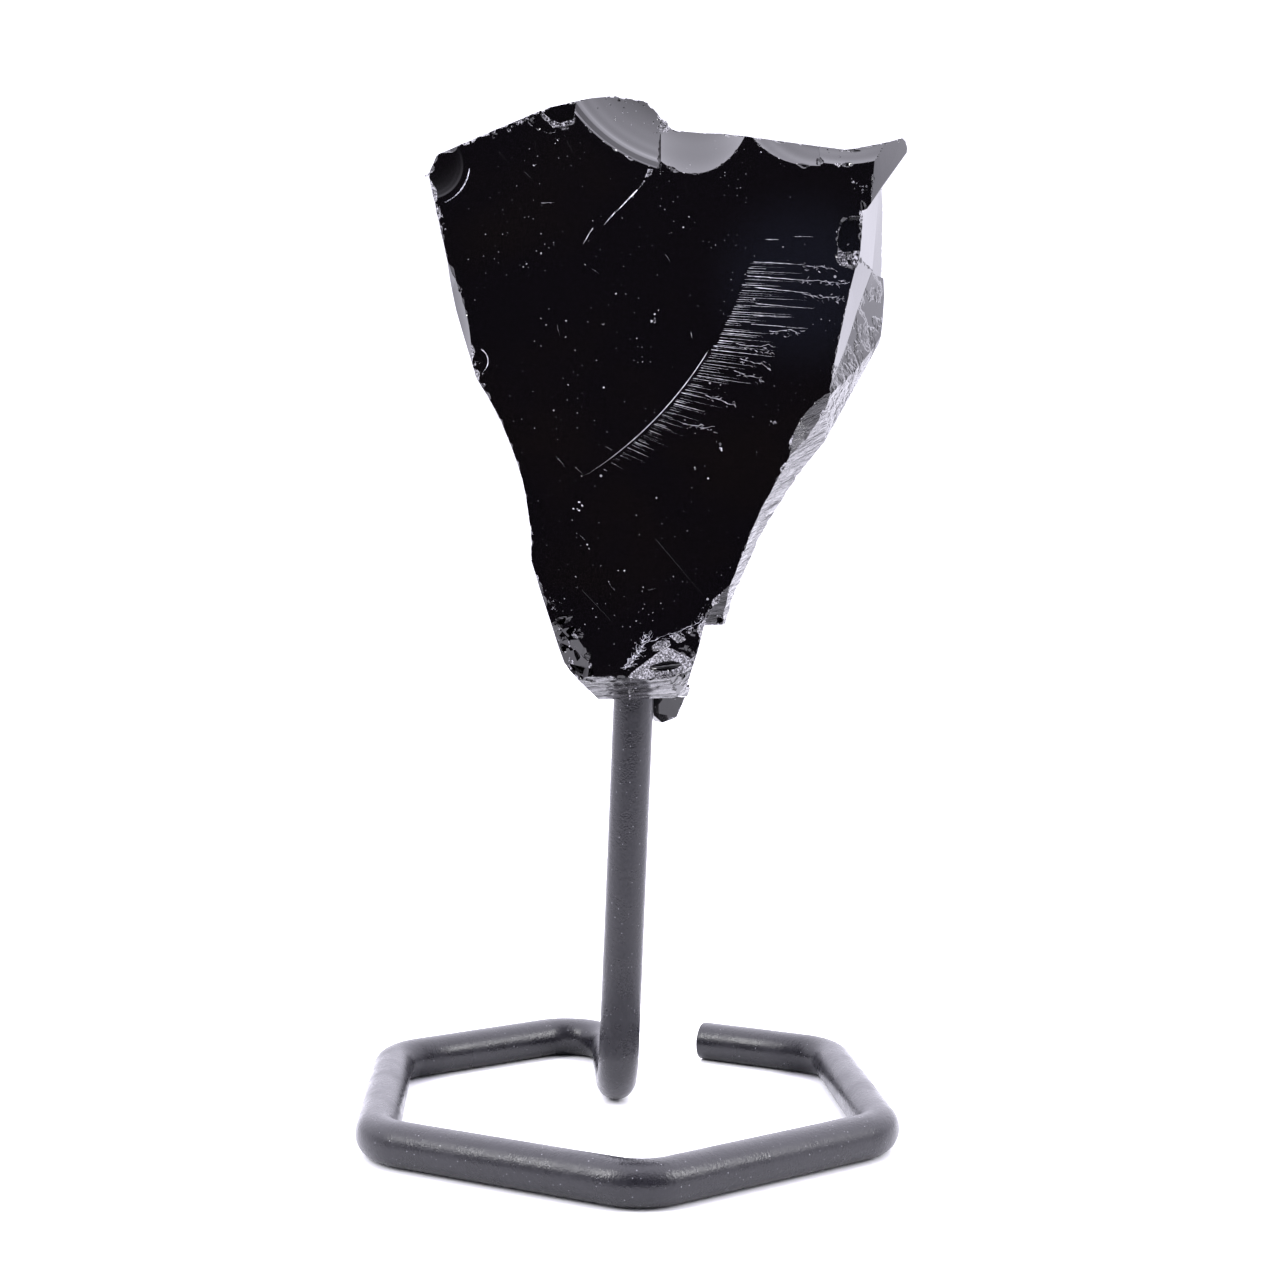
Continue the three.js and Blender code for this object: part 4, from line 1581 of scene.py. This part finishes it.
def rod_shape(path: Sequence[Vector], headings: Sequence[Vector], radius: float, sides: int,
              dish: float = 0.0) -> Shape:
    """Return a round rod along a path.

    Args:
        path: Points of the rod's centre line.
        headings: The rod's direction at each point.
        radius: The rod's radius.
        sides: Number of sides of the section.
        dish: How far both ends are hollowed inside their rim.

    Returns:
        The rod.
    """
    stations = [(point, heading, radius) for point, heading in zip(path, headings)]
    if dish:
        start, first, _ = stations[0]
        end, last, _ = stations[-1]
        rings = 4
        lead = []
        trail = []
        for step in range(rings):
            angle = math.pi / 2.0 * step / rings
            inset = dish * (1.0 - math.sin(angle))
            ring = radius - dish * (1.0 - math.cos(math.pi / 2.0 - angle))
            lead.append((start + first * inset, first, ring))
            trail.append((end - last * inset, last, ring))
        stations = [
            *lead, (start + first * dish, first, radius), *stations[1:-1],
            (end - last * dish, last, radius), *reversed(trail),
        ]
    points = []
    side = stations[0][1].orthogonal().normalized()
    before = stations[0][1]
    for point, heading, ring in stations:
        side = before.rotation_difference(heading) @ side
        side = (side - heading * side.dot(heading)).normalized()
        up = heading.cross(side)
        before = heading
        for i in range(sides):
            angle = math.tau * (i + 0.5) / sides
            points.append(point + side * (ring * math.cos(angle)) + up * (ring * math.sin(angle)))
    faces: list[tuple[int, ...]] = [tuple(reversed(range(sides)))]
    for station in range(len(stations) - 1):
        here = station * sides
        after = here + sides
        for i in range(sides):
            j = (i + 1) % sides
            faces.append((here + i, here + j, after + j, after + i))
    foot = (len(stations) - 1) * sides
    faces.append(tuple(foot + i for i in range(sides)))
    return Shape(np.array([tuple(point) for point in points]), faces)


@dataclass
class RodStand:
    """The stand: one rod bent into an open hexagon, an arm and a post."""

    node: str = "stand_rod"
    diameter: float = 5.0
    sides: int = 64
    corner_radius: float = 33.4
    turn: float = math.radians(4.5)
    base_bend: float = 6.0
    open_share: float = 0.55
    arm_bend: float = 6.0
    post_top: float = 66.0
    foot_bend: float = 5.0
    end_dish: float = 0.45
    base_bend_steps: int = 14
    arm_bend_steps: int = 24
    foot_bend_steps: int = 18

    def post_point(self, z: float) -> Vector:
        """Return the point of the post's centre line at a height."""
        rise = z - self.diameter / 2.0
        return Vector((POST_X + POST_LEAN * rise, POST_Y, z))

    def corners(self) -> list[tuple[Vector, float, int]]:
        """Return the path's corners with the radius and number of steps of each bend.

        Returns:
            Each corner's point, bend radius and number of steps.
        """
        level = self.diameter / 2.0

        def corner(i: int) -> Vector:
            """Return a corner of the hexagon, counted clockwise from the back.

            Args:
                i: Its number.

            Returns:
                The corner.
            """
            angle = self.turn + math.pi / 2.0 - i * math.pi / 3.0
            away = self.corner_radius
            return Vector((away * math.cos(angle), away * math.sin(angle), level))

        found = [(corner(1).lerp(corner(0), self.open_share), 0.0, 0)]
        found.extend((corner(i), self.base_bend, self.base_bend_steps) for i in range(1, 6))
        found.append((corner(6), self.arm_bend, self.arm_bend_steps))
        found.append((self.post_point(level), self.foot_bend, self.foot_bend_steps))
        found.append((self.post_point(self.post_top), 0.0, 0))
        return found

    def path(self) -> tuple[list[Vector], list[Vector]]:
        """Return the points and directions of the centre line.

        Returns:
            The points, and the directions at them.
        """
        corners = self.corners()
        ways = [(b[0] - a[0]).normalized() for a, b in zip(corners, corners[1:])]
        points = [corners[0][0]]
        headings = [ways[0]]
        for (point, bend, steps), before, after in zip(corners[1:-1], ways, ways[1:]):
            angle = before.angle(after)
            inward = (after - before * before.dot(after)).normalized()
            centre = point - before * (bend * math.tan(angle / 2.0)) + inward * bend
            for step in range(steps + 1):
                turned = angle * step / steps
                points.append(centre - inward * (bend * math.cos(turned))
                              + before * (bend * math.sin(turned)))
                headings.append(before * math.cos(turned) + inward * math.sin(turned))
        points.append(corners[-1][0])
        headings.append(ways[-1])
        return points, headings

    def build(self) -> Workpiece:
        """Bend the rod.

        Returns:
            The rod, still in millimetres.
        """
        points, headings = self.path()
        shape = rod_shape(points, headings, self.diameter / 2.0, self.sides, self.end_dish)
        return Workpiece(self.node, [PowderCoatFinish().make()], shape)


# ------------------------------------------------------------------ setting down


@dataclass
class SetDown:
    """Takes pieces from the bench to their place in the frame."""

    shift: Vector

    @classmethod
    def from_rod(cls, rod: Workpiece, node: str) -> "SetDown":
        """Return the move that lays the bench's rod on the frame's rod.

        Args:
            rod: The rod on the bench.
            node: The frame's node of the rod.

        Returns:
            The move.
        """
        low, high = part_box(node)
        points = np.array([tuple(vertex.co) for vertex in rod.item.data.vertices])
        middle = (points[:, :2].max(axis=0) + points[:, :2].min(axis=0)) / 2.0
        target = ((low[0] + high[0]) / 2.0, (low[1] + high[1]) / 2.0)
        return cls(Vector((target[0] - middle[0] * MM, target[1] - middle[1] * MM, low[2])))

    def finish(self, piece: Workpiece, node: str, slot: str, sharp: float) -> bpy.types.Object:
        """Turn a piece into metres, shade it and hand it to the frame.

        Args:
            piece: The piece on the bench.
            node: The node that it stands for.
            slot: The record's material slot; not used.
            sharp: Angle from which an edge is shaded sharp, in radians.

        Returns:
            The finished object.
        """
        made = piece.item
        made.name = f"{node}_finished"
        made.data.transform(Matrix.Translation(self.shift) @ Matrix.Scale(MM, 4))
        made.data.shade_smooth()
        made.data.set_sharp_from_angle(angle=sharp)
        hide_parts(node)
        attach(made, "root")
        log.info("%s: %d faces", made.name, len(made.data.polygons))
        return made


# ------------------------------------------------------------------ studio


class Softbox(Enum):
    """The strip lights: place, width and height in metres, and power in watts."""

    KEY = ((-0.62, -0.42, 0.66), 0.07, 0.50, 5.0)
    FILL = ((0.66, -0.30, 0.52), 0.06, 0.40, 3.5)


@dataclass(frozen=True)
class Studio:
    """A white sweep under soft light, dark only behind the camera."""

    middle: Vector
    lens: float = 48.3
    stand_off: float = 0.21053
    camera_x: float = 0.00169
    camera_z: float = 0.06286
    pitch: float = math.radians(1.17)
    roll: float = math.radians(0.53)
    sensor: float = 36.0
    nearest: float = 0.005
    farthest: float = 20.0
    aim_height: float = 0.09
    floor_radius: float = 1.6
    floor_sides: int = 96
    tint: tuple[float, float, float, float] = (0.95, 0.93, 1.06, 1.0)
    wall_light: float = 2.3
    roof_light: float = 2.1
    front_loss: float = 0.975
    backdrop: float = 1.6

    def camera(self) -> None:
        """Place the camera in front of the stone."""
        data = bpy.data.cameras.new("camera")
        data.lens = self.lens
        data.sensor_width = self.sensor
        data.clip_start = self.nearest
        data.clip_end = self.farthest
        made = bpy.data.objects.new("camera", data)
        made.location = self.middle + Vector((self.camera_x, -self.stand_off, self.camera_z))
        level = Matrix.Rotation(math.pi / 2.0 - self.pitch, 4, "X")
        made.rotation_euler = (level @ Matrix.Rotation(self.roll, 4, "Z")).to_euler()
        bpy.context.scene.collection.objects.link(made)
        bpy.context.scene.camera = made

    def floor(self) -> None:
        """Lay the pale floor."""
        mesh = bpy.data.meshes.new("floor")
        turns = [math.tau * i / self.floor_sides for i in range(self.floor_sides)]
        corners = [(self.floor_radius * math.cos(turn), self.floor_radius * math.sin(turn), 0.0)
                   for turn in turns]
        mesh.from_pydata(corners, [], [tuple(range(self.floor_sides))])
        mesh.materials.append(PaleFloorFinish().make())
        made = bpy.data.objects.new("floor", mesh)
        made.location = (self.middle.x, self.middle.y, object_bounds()[0][2])
        bpy.context.scene.collection.objects.link(made)
        made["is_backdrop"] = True

    def softboxes(self) -> None:
        """Hang the softboxes, aimed at the stone."""
        target = self.middle + Vector((0.0, 0.0, self.aim_height))
        for box in Softbox:
            place, width, height, power = box.value
            data = bpy.data.lights.new(f"softbox_{box.name.lower()}", "AREA")
            data.shape = "RECTANGLE"
            data.size = width
            data.size_y = height
            data.energy = power
            made = bpy.data.objects.new(data.name, data)
            made.location = self.middle + Vector(place)
            made.rotation_euler = (made.location - target).to_track_quat("Z", "Y").to_euler()
            bpy.context.scene.collection.objects.link(made)

    def surroundings(self) -> None:
        """Make the white tent round the stone, open to a dark room in front."""
        world = bpy.data.worlds.new("white_tent")
        bpy.context.scene.world = world
        world.use_nodes = True
        tree = ShaderTree(world.node_tree)
        way = tree.out("ShaderNodeTexCoord", output="Generated")
        parts = tree.node("ShaderNodeSeparateXYZ", {}, {"Vector": way})
        ahead = Wire(tree, parts.outputs["Y"])
        up = Wire(tree, parts.outputs["Z"])
        roof = up.ramp(0.10, 0.85)
        front = (0.0 - ahead).ramp(0.10, 0.93)
        strength = (self.wall_light + self.roof_light * roof) * (1.0 - self.front_loss * front)
        seen = tree.out("ShaderNodeLightPath", output="Is Camera Ray")
        strength = strength * (1.0 - seen) + self.backdrop * seen
        light = tree.out("ShaderNodeBackground", {}, {"Color": self.tint, "Strength": strength})
        tree.node("ShaderNodeOutputWorld", {}, {"Surface": light})

    def build(self) -> None:
        """Set up the whole studio."""
        self.camera()
        self.floor()
        self.softboxes()
        self.surroundings()
        bpy.context.scene.view_settings.view_transform = "Standard"


def main() -> None:
    """Build the stand, the stone and the studio."""
    logging.basicConfig(level=logging.INFO, format="%(message)s")
    stand = RodStand()
    rod = stand.build()
    place = SetDown.from_rod(rod, stand.node)
    place.finish(rod, stand.node, "black_rod", math.radians(40.0))
    chunk = ObsidianChunk(FrontFace())
    place.finish(chunk.build(), chunk.node, "obsidian", chunk.sharp)
    Studio(place.shift).build()


if __name__ == "__main__":
    main()
